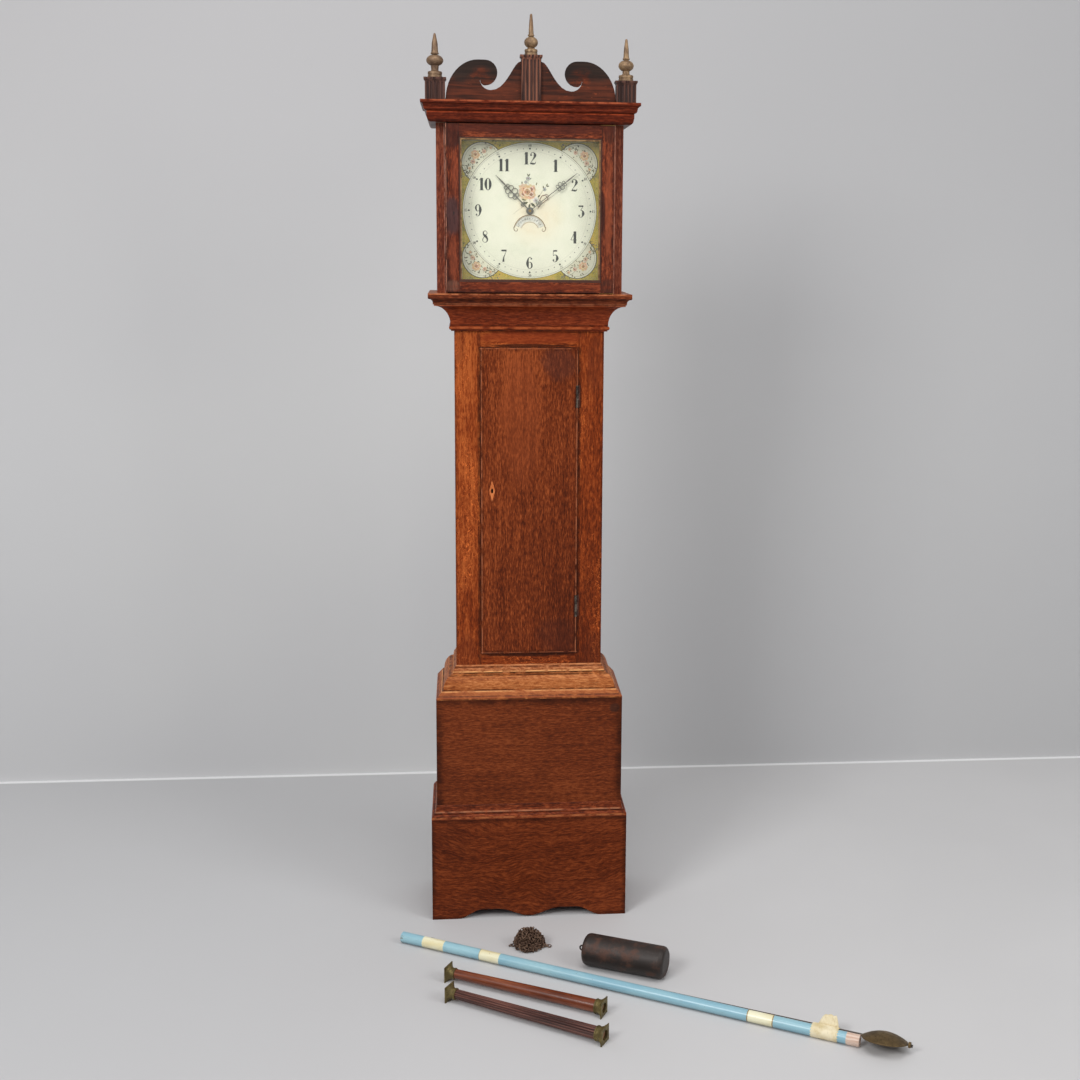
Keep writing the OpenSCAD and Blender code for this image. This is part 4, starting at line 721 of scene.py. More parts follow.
def leaf(painting, u, v, angle, length, width, tint, layer=2):
    """A pointed leaf with a darker rib."""
    cos, sin = math.cos(angle), math.sin(angle)

    def put(a, b):
        return (u + a * cos - b * sin, v + a * sin + b * cos)
    edge = [(0, 0), (0.22, 0.36), (0.5, 0.5), (0.78, 0.3), (1, 0)]
    painting.shape([put(a * length, -b * width) for a, b in edge]
                   + [put(a * length, b * width) for a, b in reversed(edge[1:-1])], tint, layer)
    painting.ribbon([(u, v, 0.5), (*put(length, 0), 0.2)], LEAF[2], layer + 1, 2, False)


def corner_spray(painting, side_u, side_v, rng):
    """Spray that fills the white part of one corner, along the edge of the circle."""
    def put(angle, out):
        return (side_u * out * math.cos(angle), side_v * out * math.sin(angle))
    stem = [put(math.radians(a), 172 + 3 * math.sin(a)) + (0.6,) for a in range(29, 62, 4)]
    painting.ribbon(stem, LEAF[2], 1, 3)
    for _ in range(76):
        a = math.radians(rng.uniform(26, 64))
        near = abs(math.degrees(a) - 45) / 18
        u, v = put(a, rng.uniform(159, 190 - 14 * near))
        leaf(painting, u, v, rng.uniform(0, 2 * math.pi), rng.uniform(3.0, 7.4),
             rng.uniform(1.5, 2.9), rng.choice(LEAF))
    for a, out, radius, tints in ((45, 177, 9.6, PEACH), (39.5, 170, 5.0, ROSE),
                                  (51.5, 169, 4.4, ROSE), (34, 167, 3.0, PEACH),
                                  (57, 167, 3.0, PEACH)):
        flower(painting, *put(math.radians(a + rng.uniform(-0.8, 0.8)), out), radius, tints, rng)
    for _ in range(26):
        u, v = put(math.radians(rng.uniform(25, 65)), rng.uniform(158, 182))
        painting.disc(u, v, rng.uniform(0.5, 1.1), rng.choice([BROWN, LEAF[2], ROSE[2]]), 7, 9)


def centre_spray(painting, rng):
    """Large rose above the middle of the dial with leaves, small flowers and a ribbon."""
    for stem in ([(2, 14, 0.5), (-1, 30, 0.5), (-3, 66, 0.4), (-3, 80, 0.3)],
                 [(6, 18, 0.5), (20, 32, 0.5), (34, 52, 0.4), (40, 58, 0.3)],
                 [(-6, 14, 0.5), (-18, 8, 0.4), (-31, -2, 0.3), (-39, -8, 0.3)]):
        painting.ribbon(stem, LEAF[2], 1)
    for *shape, tint in (
            (-4, 20, 3.5, 15, 6, 0), (2, 18, 5.6, 14, 6, 2), (8, 20, 6.1, 15, 6, 1),
            (0, 16, 4.5, 10, 5, 2), (-8, 24, 2.9, 12, 5, 1), (10, 26, 0.2, 12, 5, 0),
            (18, 30, 0.9, 9, 4, 2), (30, 46, 0.5, 8, 3.4, 1), (32, 50, 1.8, 8, 3.2, 0),
            (38, 56, 0.1, 7, 3, 2), (38, 56, 1.2, 7, 3, 1), (-3, 70, 0.6, 8, 3.2, 0),
            (-3, 70, 2.5, 8, 3.2, 1), (-3, 78, 1.1, 7, 2.8, 2), (-3, 78, 2.1, 7, 2.8, 0),
            (-20, 52, 2.4, 8, 3.4, 1), (-18, 60, 1.6, 7, 3, 0), (14, 58, 1.2, 7, 3, 1)):
        leaf(painting, *shape, LEAF[tint])
    white = [BLUE[3], paint("e8e6d8"), BLUE[0], BLUE[3]]
    for u, v, radius, tints, layer in (
            (-14, 50, 10.5, ROSE, 4), (3, 49, 10.0, ROSE, 4), (-15, 38, 9.5, ROSE, 4),
            (3, 37, 9.5, ROSE, 4), (-6, 43, 16.0, PEACH, 4), (14, 24, 7.0, white, 10),
            (-4, 73, 4.6, BLUE, 4), (-9, 65, 3.6, BLUE, 4), (34, 49, 3.8, BLUE, 4)):
        flower(painting, u, v, radius, tints, rng, layer)
    painting.ribbon([(20, 20, 1.0), (28, 34, 1.6), (36, 35, 1.2), (41, 28, 1.6), (34, 22, 1.2),
                     (24, 14, 1.6), (18, 4, 0.8)], paint("70382a"), 10)
    painting.ribbon([(30, 34, 0.8), (38, 38, 1.1), (44, 32, 0.9), (42, 24, 0.5)],
                    paint("5c342a"), 11)


# Chain and dots by Geometry Nodes

class Nodes:
    """A geometry tree with named inputs for its sizes."""

    def __init__(self, name, **inputs):
        self.tree = bpy.data.node_groups.new(name, "GeometryNodeTree")
        face = self.tree.interface
        face.new_socket("Geometry", in_out="INPUT", socket_type="NodeSocketGeometry")
        self.ids = {}
        for label, value in inputs.items():
            kind = "NodeSocketInt" if isinstance(value, int) else "NodeSocketFloat"
            socket = face.new_socket(label, in_out="INPUT", socket_type=kind)
            socket.default_value = value
            self.ids[label] = socket.identifier
        face.new_socket("Geometry", in_out="OUTPUT", socket_type="NodeSocketGeometry")
        self.start = self.tree.nodes.new("NodeGroupInput").outputs

    def add(self, kind, sockets=None, **settings):
        """Adds a node and gives its first output."""
        made = self.tree.nodes.new(kind)
        for name, value in settings.items():
            setattr(made, name, value)
        for name, value in (sockets or {}).items():
            if isinstance(value, bpy.types.NodeSocket):
                self.tree.links.new(value, made.inputs[name])
            else:
                made.inputs[name].default_value = value
        return made.outputs[0]

    def math(self, operation, *values):
        return self.add("ShaderNodeMath", dict(enumerate(values)), operation=operation)

    def resized(self, shape, scale):
        return self.add("GeometryNodeTransform", {"Geometry": shape, "Scale": scale})

    def link(self):
        """An oval link of round wire with a few dozen faces."""
        oval = self.resized(self.add("GeometryNodeCurvePrimitiveCircle", {
            "Resolution": 10, "Radius": self.math("MULTIPLY", self.start["link_length"], 0.36)}),
            (1.32, 0.92, 1.0))
        section = self.add("GeometryNodeCurvePrimitiveCircle", {
            "Resolution": 5, "Radius": self.start["wire"]})
        return self.add("GeometryNodeCurveToMesh", {"Curve": oval, "Profile Curve": section})

    def copies(self, points, shape, turn, scale=EVEN):
        return self.add("GeometryNodeInstanceOnPoints", {
            "Points": points, "Instance": shape, "Rotation": turn, "Scale": scale})

    def close(self, shape, material):
        """Ends the tree in plain geometry of one material."""
        real = self.add("GeometryNodeRealizeInstances", {"Geometry": shape})
        given = self.add("GeometryNodeSetMaterial", {"Geometry": real, "Material": material})
        end = self.tree.nodes.new("NodeGroupOutput")
        self.tree.links.new(given, end.inputs[0])
        return self

    def make(self, name, base, material, body, slot, **values):
        """Runs the tree on a base mesh and keeps the result as a plain mesh on a body."""
        holder = new_object(name + "_base", base)
        modifier = holder.modifiers.new("Shape", "NODES")
        modifier.node_group = self.tree
        for label, value in values.items():
            modifier[self.ids[label]] = value
        shown = holder.evaluated_get(bpy.context.evaluated_depsgraph_get())
        mesh = bpy.data.meshes.new_from_object(shown)
        holder.modifiers.remove(modifier)
        bpy.data.objects.remove(holder)
        mesh.name = name
        return ride(name, mesh, material, body)


def heap_tree(material):
    """Links thrown in every direction over a mound, in three layers, on a dark core."""
    nodes = Nodes("Chain heap", link_length=0.0105, wire=0.0011, spacing=0.0052, seed=5)
    mound = nodes.start["Geometry"]
    shape = nodes.link()
    layers = []
    for turn, share in enumerate((0.97, 0.80, 0.64)):
        shell = nodes.resized(mound, (share,) * 3)
        seed = nodes.math("ADD", nodes.start["seed"], turn * 7.0)
        points = nodes.add("GeometryNodeDistributePointsOnFaces", {
            "Mesh": shell, "Distance Min": nodes.start["spacing"], "Density Max": 160000.0,
            "Seed": seed}, distribute_method="POISSON")
        spin = nodes.add("FunctionNodeRandomValue", {"Max": (6.283,) * 3, "Seed": seed},
                         data_type="FLOAT_VECTOR")
        layers.append(nodes.copies(points, shape, spin))
    core = nodes.resized(mound, (0.56,) * 3)
    joined = nodes.add("GeometryNodeJoinGeometry")
    for part in (core, *layers):
        nodes.tree.links.new(part, joined.node.inputs[0])
    return nodes.close(joined, material)


def tail_tree(material):
    """Links in a row, each turned a quarter against the last."""
    nodes = Nodes("Chain tail", link_length=0.0105, wire=0.0011)
    shape = nodes.link()
    index = nodes.add("GeometryNodeInputIndex")
    quarter = nodes.math("MULTIPLY_ADD", index, 1.5708, 0.6)
    heading = nodes.math("MULTIPLY_ADD", nodes.math("SINE", index), 0.35, 0.2)
    turn = nodes.add("ShaderNodeCombineXYZ", {0: quarter, 2: heading})
    return nodes.close(nodes.copies(nodes.start["Geometry"], shape, turn), material)


def dots_tree(material):
    """Round dots on the points of a circle, every fifth one larger."""
    nodes = Nodes("Minute dots", dot_radius=0.0011)
    dot = nodes.add("GeometryNodeMeshCircle", {
        "Vertices": 10, "Radius": nodes.start["dot_radius"]}, fill_type="NGON")
    index = nodes.add("GeometryNodeInputIndex")
    large = nodes.math("LESS_THAN", nodes.math("MODULO", index, 5.0), 0.5)
    return nodes.close(nodes.copies(
        nodes.start["Geometry"], dot, (math.pi / 2, 0.0, 0.0),
        nodes.math("MULTIPLY_ADD", large, 0.9, 1.0)), material)


def mound_mesh(radius, height):
    """An uneven dome, flat below."""
    points, rings, sides = [], 6, 24
    for ring in range(rings):
        a = math.pi / 2 * ring / rings
        for i in range(sides):
            b = 2 * math.pi * i / sides
            reach = radius * (0.88 + 0.08 * math.sin(3 * b + 0.6)
                              + 0.04 * math.sin(7 * b + 2.0 + ring))
            points.append((reach * math.cos(a) * math.cos(b),
                           reach * 0.9 * math.cos(a) * math.sin(b),
                           height * math.sin(a) * (0.93 + 0.07 * math.sin(4 * b + ring))))
    points.append((0, 0, height * 0.97))
    faces = grid_faces(rings, sides, True)
    top = (rings - 1) * sides
    faces += [(top + i, top + (i + 1) % sides, len(points) - 1) for i in range(sides)]
    return new_mesh("mound", points, faces + [tuple(reversed(range(sides)))])


def rest_on_floor(piece):
    """Lifts each separate link that reaches below the floor until it lies on it."""
    points = piece.data.vertices
    joined = list(range(len(points)))

    def link_of(index):
        while joined[index] != index:
            joined[index] = joined[joined[index]]
            index = joined[index]
        return index
    for edge in piece.data.edges:
        joined[link_of(edge.vertices[0])] = link_of(edge.vertices[1])
    lowest = {}
    for index, point in enumerate(points):
        link = link_of(index)
        lowest[link] = min(lowest.get(link, 0.0), point.co.z)
    for index, point in enumerate(points):
        point.co.z -= lowest[link_of(index)]


# Properties

class ClockSizes(bpy.types.PropertyGroup):
    figure_height: bpy.props.FloatProperty(
        name="Hour figures", description="Height of the hour figures in mm",
        default=27.5, min=20, max=34)
    figure_circle: bpy.props.FloatProperty(
        name="Figure circle", description="Radius of the hour figures in mm",
        default=118.5, min=100, max=130)
    link_length: bpy.props.FloatProperty(
        name="Chain link", description="Length of a link of the chain",
        default=0.0105, min=0.005, max=0.014, unit="LENGTH")
    key_light: bpy.props.FloatProperty(
        name="Key light", description="Power of the main lamp in W",
        default=105, min=10, max=600)


class ClockColours(bpy.types.PropertyGroup):
    oak_dark: bpy.props.FloatVectorProperty(
        name="Oak, dark", description="Darkest grain of the front boards",
        subtype="COLOR", size=4, default=paint("421808"))
    oak_middle: bpy.props.FloatVectorProperty(
        name="Oak, middle", description="Main tone of the front boards",
        subtype="COLOR", size=4, default=paint("652a10"))
    oak_light: bpy.props.FloatVectorProperty(
        name="Oak, light", description="Lightest grain of the front boards",
        subtype="COLOR", size=4, default=paint("843e1c"))
    # Colour of the floor at its right end; a painted light gradient makes the floor lighter
    # towards the right
    floor: bpy.props.FloatVectorProperty(
        name="Floor", description="Colour of the studio floor",
        subtype="COLOR", size=4, default=paint("cccbcb"))


# What each operator builds

def build_stage(scene):
    width = 1080
    focal, centre_x, centre_y = 1444.279, 598.918, 480.848
    yaw, pitch, roll = (math.radians(a) for a in (5.357, 9.528, 0.574))
    forward = Vector((math.sin(yaw) * math.cos(pitch), math.cos(yaw) * math.cos(pitch),
                      -math.sin(pitch)))
    level = Vector((math.cos(yaw), -math.sin(yaw), 0))
    upright = level.cross(forward)
    right = level * math.cos(roll) + upright * math.sin(roll)
    up = upright * math.cos(roll) - level * math.sin(roll)
    camera = new_object("camera", bpy.data.cameras.new("camera"))
    place = Vector((-0.151407, -3.554328, 1.650061))
    camera.matrix_world = Matrix((*zip(right, up, -forward, place), (0, 0, 0, 1)))
    camera.data.sensor_width = 36.0
    camera.data.lens = focal / width * 36.0
    camera.data.shift_x = -(centre_x - width / 2) / width
    camera.data.shift_y = -(width / 2 - centre_y) / width
    scene.camera = camera

    wall_y = 0.78
    floor = Finish("studio_floor")
    cloud = floor.noise(1.3, 3.0, 0.5)
    # Painted light: the floor is lighter towards the right than at the left
    floor.colour = floor.mix(floor.x.step(-0.9, 0.9), "bfbfc0", tuple(scene.clock_colours.floor))
    floor.lay(cloud.step(0.3, 0.7) * 0.2, "bab9b9")
    floor.lay(floor.y.step(wall_y - 0.020, wall_y - 0.014) * 0.8, "f6f6f6")
    wall = Finish("studio_wall")
    cloud = wall.noise(1.0, 2.0, 0.5)
    wall.colour = wall.mix(cloud.step(0.3, 0.7), "c9c9c9", "c5c5c6")
    # Painted shade: the wall is darker higher up, and a painted shadow darkens it towards the
    # right
    wall.lay(wall.z.step(0.9, 2.5), "b2b1b2")
    wall.lay(wall.x.step(-0.1, 0.9) * 0.5, "aaaaab")
    seen_from_front = 1 - wall.node("NewGeometry", pick=6)
    for name, near, far, material in (
            ("floor", (-7, 0), (wall_y, 0), floor.close(0.7)),
            ("wall", (wall_y, 0), (wall_y, 5), wall.close(0.9, alpha=seen_from_front))):
        corners = [(-6, *near), (6, *near), (6, *far), (-6, *far)]
        sheet = new_object(name, new_mesh(name, corners, [(0, 1, 2, 3)]))
        sheet.data.materials.append(material)
    for name, place, aim, size, share in (
            ("key", (-2.6, -3.4, 3.3), (0, -0.1, 1.0), 1.5, 1),
            ("fill", (2.9, -2.6, 2.6), (0, -0.1, 0.9), 1.6, 0.42),
            ("top", (0.0, -1.6, 4.4), (0, 0.0, 0.4), 2.2, 0.55)):
        lamp = bpy.data.lights.new(name, "AREA")
        lamp.size = size
        lamp.energy = scene.clock_sizes.key_light * share
        holder = new_object(name, lamp)
        holder.location = place
        towards = Vector(aim) - Vector(place)
        holder.rotation_euler = towards.to_track_quat("-Z", "Y").to_euler()
    scene.world = bpy.data.worlds.new("studio")
    scene.world.use_nodes = True
    sky = scene.world.node_tree.nodes["Background"].inputs
    sky["Color"].default_value = (0.9, 0.9, 0.92, 1)
    sky["Strength"].default_value = 0.42
    scene.view_settings.view_transform = "Standard"


def oak_board(node, *looks, **more):
    dress(node, oak("oak_" + node, *looks, **more))


def levels(*rows):
    """Lines at heights: (z, half width, tint, amount)."""
    return [("z", *row) for row in rows]


def stripes(*rows):
    """Lines at both sides: (x, half width, tint, amount at the left, amount at the right)."""
    return [("x", side * x, half, tint, amounts[side > 0 and len(amounts) > 1])
            for x, half, tint, *amounts in rows for side in (-1, 1)]


def build_case(scene):
    tones = scene.clock_colours
    dark, middle, light = front = [tuple(tone) for tone in (tones.oak_dark, tones.oak_middle,
                                                            tones.oak_light)]
    oak_board("plinth_front", front, "across", "plinth_front", 0.7, 0.02, fleck=0.1, wave=0.07)
    oak_board("lower_side_boards", front, "up", "lower_side_boards", 0.5, 0.03)
    oak_board("base_front", "481d0c 682d12 864220", "across",
              (Vector((-0.224, 0, 0.27)), Vector((0.224, 0, 0.554))), 0.8, 0.035, fleck=0.1,
              patches=[(0.206, 0.528, 0.016, 0.014, "382219", 0.75)])
    # Plinth moulding: the light lines are painted highlights on its crests, the dark lines painted
    # shade in its steps
    oak_board("plinth_moulding", "3e180c 703018 9c4e2a", "round", lines=levels(
        (0.2605, 0.0016, "b0683e", 0.75), (0.2705, 0.0012, "281009", 0.7),
        (0.2730, 0.0010, "be825c", 0.5), (0.2878, 0.0012, "28120b", 0.6)))
    # Base moulding: light lines are painted highlights on its crests, dark lines painted shade in
    # its steps; the patch is a darker band at mid height
    oak_board("base_moulding", "703416 9e582c be7846", "round", fleck=0.2,
              patches=[(0.0, 0.563, 0.5, 0.0095, "924c24", 0.5)], lines=levels(
                  (0.6050, 0.0010, "401c0e", 0.8), (0.5730, 0.0009, "38190d", 0.85),
                  (0.5708, 0.0009, "d6945c", 0.8), (0.5614, 0.0009, "461e10", 0.85),
                  (0.5586, 0.0016, "7a381e", 0.7), (0.5554, 0.0008, "34160c", 0.8)))
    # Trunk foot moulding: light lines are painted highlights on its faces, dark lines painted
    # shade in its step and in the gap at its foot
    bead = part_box("trunk_foot_moulding")[0].z
    oak_board("trunk_foot_moulding", "683014 96542e be7c50", "round", lines=levels(
        (bead + 0.0190, 0.0008, "c48050", 0.6), (bead + 0.0150, 0.0013, "542612", 0.8),
        (bead + 0.0046, 0.0012, "e8aa6e", 0.95), (bead + 0.0012, 0.0012, "2a1209", 0.95)))
    # Throat moulding: light lines are painted highlights on its crests, dark lines painted shade
    # in its steps
    oak_board("throat_moulding", "4a1a0a 742d13 904020", "round", fleck=0.1, lines=levels(
        (1.4420, 0.0020, "ac582e", 0.75), (1.4358, 0.0012, "34160c", 0.7),
        (1.4490, 0.0012, "3c1a0e", 0.7), (1.4958, 0.0010, "b06844", 0.6)))
    oak_board("trunk_sides", (dark, paint("743319"), light), "up", "trunk_sides", 0.5, 0.03)
    foot, top = (corner.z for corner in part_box("trunk_door"))
    # Painted light round the trunk door: edge is painted shade in the gap at the door's edge,
    # shine a painted highlight on the crest of its lip, shadow a painted shadow on the frame round
    # the door
    edge, shine, shadow = "240f08", "a66242", "3e1a0c"
    oak_board("trunk_door", "421808 6c2d11 9a4c24", "up", "trunk_door", 0.5, 0.02, fleck=0.1,
              drift=(-0.5, 0.22, 0.0, 1.0), patches=[
                  (-0.02, 1.22, 0.06, 0.2, "7e3a1c", 0.5), (0.07, 0.70, 0.06, 0.06, "4e2214", 0.6),
                  (0.07, 1.36, 0.05, 0.05, "542a1e", 0.6),
                  # Near-black painted shade round the keyhole, where the hole is dark
                  (LOCK_X, LOCK_Z, 0.0046, 0.0100, "040302", 1.0)],
              lines=stripes((0.1128, 0.0009, shine, 0.8), (0.1160, 0.0009, edge, 0.9))
              + levels((top - 0.0036, 0.0009, shine, 0.6), (top - 0.0006, 0.0009, edge, 0.9),
                       (foot + 0.0036, 0.0009, shine, 0.5), (foot + 0.0006, 0.0009, edge, 0.9)))
    oak_board("trunk_frame", "541f09 823612 aa5626", "frame",
              (Vector((-0.1755, 0, 0.60)), Vector((0.1755, 0, 1.44))), 0.6, 0.010, joint=0.1125,
              fleck=0.85, drift=(-0.55, 0.26, 0.0, 1.1), patches=[
                  (0.0, 1.420, 0.16, 0.020, "7c3014", 0.8),
                  (-0.165, 1.40, 0.02, 0.06, "542210", 0.3),
                  (0.160, 1.36, 0.03, 0.09, "703016", 0.6),
                  (-0.150, 0.65, 0.03, 0.07, "622812", 0.5),
                  (0.155, 0.65, 0.03, 0.07, "562412", 0.5),
                  (0.0, top + 0.003, 0.124, 0.0045, shadow, 0.9),
                  (0.0, foot - 0.004, 0.124, 0.0055, shadow, 0.9)],
              lines=stripes((0.1188, 0.0024, shadow, 0.65)))
    dress("backboard hood_top_board", bare_boards("bare_backboard", "7c6248 543e2c"))
    dress("seatboard", bare_boards("bare_seatboard", "846648 583e2a", "across"))
    keyhole_lozenge()


def keyhole_lozenge():
    """Pale lozenge round an oval opening, set flush, with a thin bevel behind its outline."""
    half_x, half_z, hole_x, hole_z = 7.0, 25.6, 2.7, 6.0
    front, proud, sunk = -0.1680, 0.00012, -0.0002
    sides, points = 24, []
    for i in range(sides):
        a = 2 * math.pi * i / sides
        c, s = math.cos(a), math.sin(a)
        reach = 1 / (abs(c) / half_x + abs(s) / half_z)
        for out_x, out_z, out in ((hole_x * c, hole_z * s, proud), (reach * c, reach * s, proud),
                                  (reach * c + math.copysign(0.15, c),
                                   reach * s + math.copysign(0.3, s), sunk)):
            points.append((LOCK_X + out_x * MM, front - out, LOCK_Z + out_z * MM))
    faces = [(3 * i + k, 3 * i + k + 1, 3 * j + k + 1, 3 * j + k)
             for i in range(sides) for j in [(i + 1) % sides] for k in (0, 1)]
    inlay = oak("keyhole_inlay", "964a24 c46c3a d88450", fleck=0.0, scale=2.0)
    make_piece("keyhole_lozenge", points, faces, inlay, "trunk_door")


def build_hood(scene):
    # Hood base frame: light lines are painted highlights on its crests, the dark line painted
    # shade in its step
    oak_board("hood_base_frame", "361409 5a2511 844224", "round", fleck=0.15, lines=levels(
        (1.5215, 0.0014, "ba7048", 0.8), (1.5112, 0.0010, "2c140d", 0.7),
        (1.4990, 0.0012, "9c5c3e", 0.5)))
    oak_board("hood_sides", "36160c 5c2414 803a22", "up", "hood_sides", 0.6, 0.03)
    # The light stripe at each side is a painted highlight on the stiles' bead
    oak_board("hood_front_stiles", "4c1e12 7a3822 a05a3e", "up", fleck=0.1, gloss=0.34,
              shine=0.25, lines=stripes((0.1949, 0.0008, "be8c7a", 0.7)))
    oak_board("hood_mask", "1e0e0a 34160f 4c2216", "up", gloss=0.5)
    oak_board("hood_door_frame", "2e1008 582311 8e4426", "frame", "hood_door_frame", 0.6, 0.008,
              joint=0.1622, fleck=0.25, gloss=0.34, shine=0.22, patches=[
                  (-0.177, 1.872, 0.03, 0.035, "3c1a12", 0.85),
                  (-0.172, 1.79, 0.010, 0.07, "783620", 0.6),
                  (-0.178, 1.700, 0.024, 0.05, "482e2c", 0.95),
                  (-0.176, 1.600, 0.011, 0.06, "7a3a24", 0.7),
                  (-0.180, 1.540, 0.024, 0.016, "6e4e40", 0.5),
                  (0.178, 1.72, 0.010, 0.16, "864228", 0.75),
                  # Near-black painted shadow on the right stile beside the dial
                  (0.166, 1.70, 0.006, 0.06, "3a1a12", 0.9),
                  (0.180, 1.885, 0.02, 0.03, "462014", 0.8),
                  (0.180, 1.540, 0.022, 0.02, "46241a", 0.7),
                  (0.0, 1.538, 0.2, 0.009, "682812", 0.7),
                  (0.0, 1.892, 0.26, 0.014, "4e2014", 0.9)],
              # Stripes: painted highlight on the outer bead, painted shade in the groove inside it
              # and at the inner edge by the dial
              lines=stripes((0.1920, 0.0009, "b47860", 0.75, 0.6), (0.1628, 0.0009, "28120c", 0.7),
                            (0.1885, 0.0014, "2c120c", 0.7, 0.6)))
    # Cornice: light lines are painted highlights on its fillets and arrises, dark lines painted
    # shade in its coves and steps
    oak_board("cornice", "3a1207 561e0e 722e18", "round", fleck=0.1, gloss=0.4, lines=levels(
        (1.9505, 0.0014, "a65636", 0.8), (1.9455, 0.0012, "32120b", 0.6),
        (1.9268, 0.0014, "a84828", 0.8), (1.9290, 0.0008, "240d09", 0.8),
        (1.9070, 0.0022, "32140d", 0.7), (1.9345, 0.0007, "964228", 0.5),
        (1.9395, 0.0008, "2c100a", 0.6)))
    dress("pediment", pediment_finish())
    dress("finial_blocks", blocks_finish())
    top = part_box("finials")[1].z
    dress("finials", gilt(top - 0.045, top - 0.02))
    dress("glass_slip", slip_finish())
    dress("door_glass", clear_glass())
    keyhole_x, keyhole_z, stile_front = -0.1742, 1.7040, -0.20706
    # Painted shadow of the hood door's keyhole: a flat near-black keyhole shape on the stile
    keyhole = Painting(keyhole_z, stile_front, keyhole_x)
    keyhole.disc(0, 1.2, 1.5)
    keyhole.shape([(-0.7, 1), (-1.1, -3.6), (1.1, -3.6), (0.7, 1)])
    keyhole.finish("hood_keyhole", plain_paint("keyhole_shadow", "0e0908 0e0908", 0.0),
                   "hood_door", "iron")


def pediment_finish():
    """Near-black scrolls with red-brown wear low down and beside the middle block."""
    finish = Finish("oak_pediment")
    x, z = finish.x, finish.z
    streak = finish.noise(130.0, 3.0, 0.6, (1, 1, 0.06), 0.3, finish.vector(z, finish.y, x))
    patch = finish.noise(22.0, 4.0, 0.65, (1, 1, 1.6))
    low = 1 - (z + (patch - 0.5) * 0.05).step(1.982, 2.014)
    inner = 1 - (x.size() + (patch - 0.5) * 0.03).step(0.035, 0.075)
    hook = 1 - finish.far(x.size() - 0.112, z - 1.998).step(0.012, 0.034)
    worn = (low * 0.7).most(inner * 0.5).most(hook * patch.step(0.4, 0.6))
    finish.colour = finish.mix(streak.step(0.35, 0.7), "201612", "2e2019")
    finish.lay(worn * (patch * 1.7).least(1.0),
               finish.mix(streak.step(0.35, 0.65), "38170b", "6a2e16"))
    bright = finish.noise(90.0, 3.0, 0.7, (0.4, 1, 1.4)).step(0.62, 0.70) * worn
    finish.lay(bright * 0.6, "aa502c")
    return finish.close(0.46 + (patch - 0.5) * 0.2, streak, 0.0005, 0.4, specular_ior_level=0.2)


def blocks_finish():
    """Dark fluted blocks, red-brown on the ridges, with painted shade deep in the flutes."""
    finish = Finish("oak_blocks")
    front = -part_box("finial_blocks")[0].y
    out = -finish.y
    streak = finish.noise(170.0, 3.0, 0.6, (1, 1, 0.04), 0.2)
    ridge = out.step(front - 0.0046, front - 0.0032) * streak.step(0.38, 0.6)
    middle = 1 - finish.x.size().step(0.03, 0.04)
    finish.colour = finish.mix(streak.step(0.3, 0.7), "261511", "44271f")
    finish.lay(ridge * 0.85, finish.mix(middle, "583a30", "865642"))
    # Painted shade deep in the flutes
    finish.lay((1 - out.step(front - 0.0062, front - 0.0046)) * 0.5, "140d0c")
    return finish.close(0.46, streak, 0.0005, 0.4, specular_ior_level=0.25)


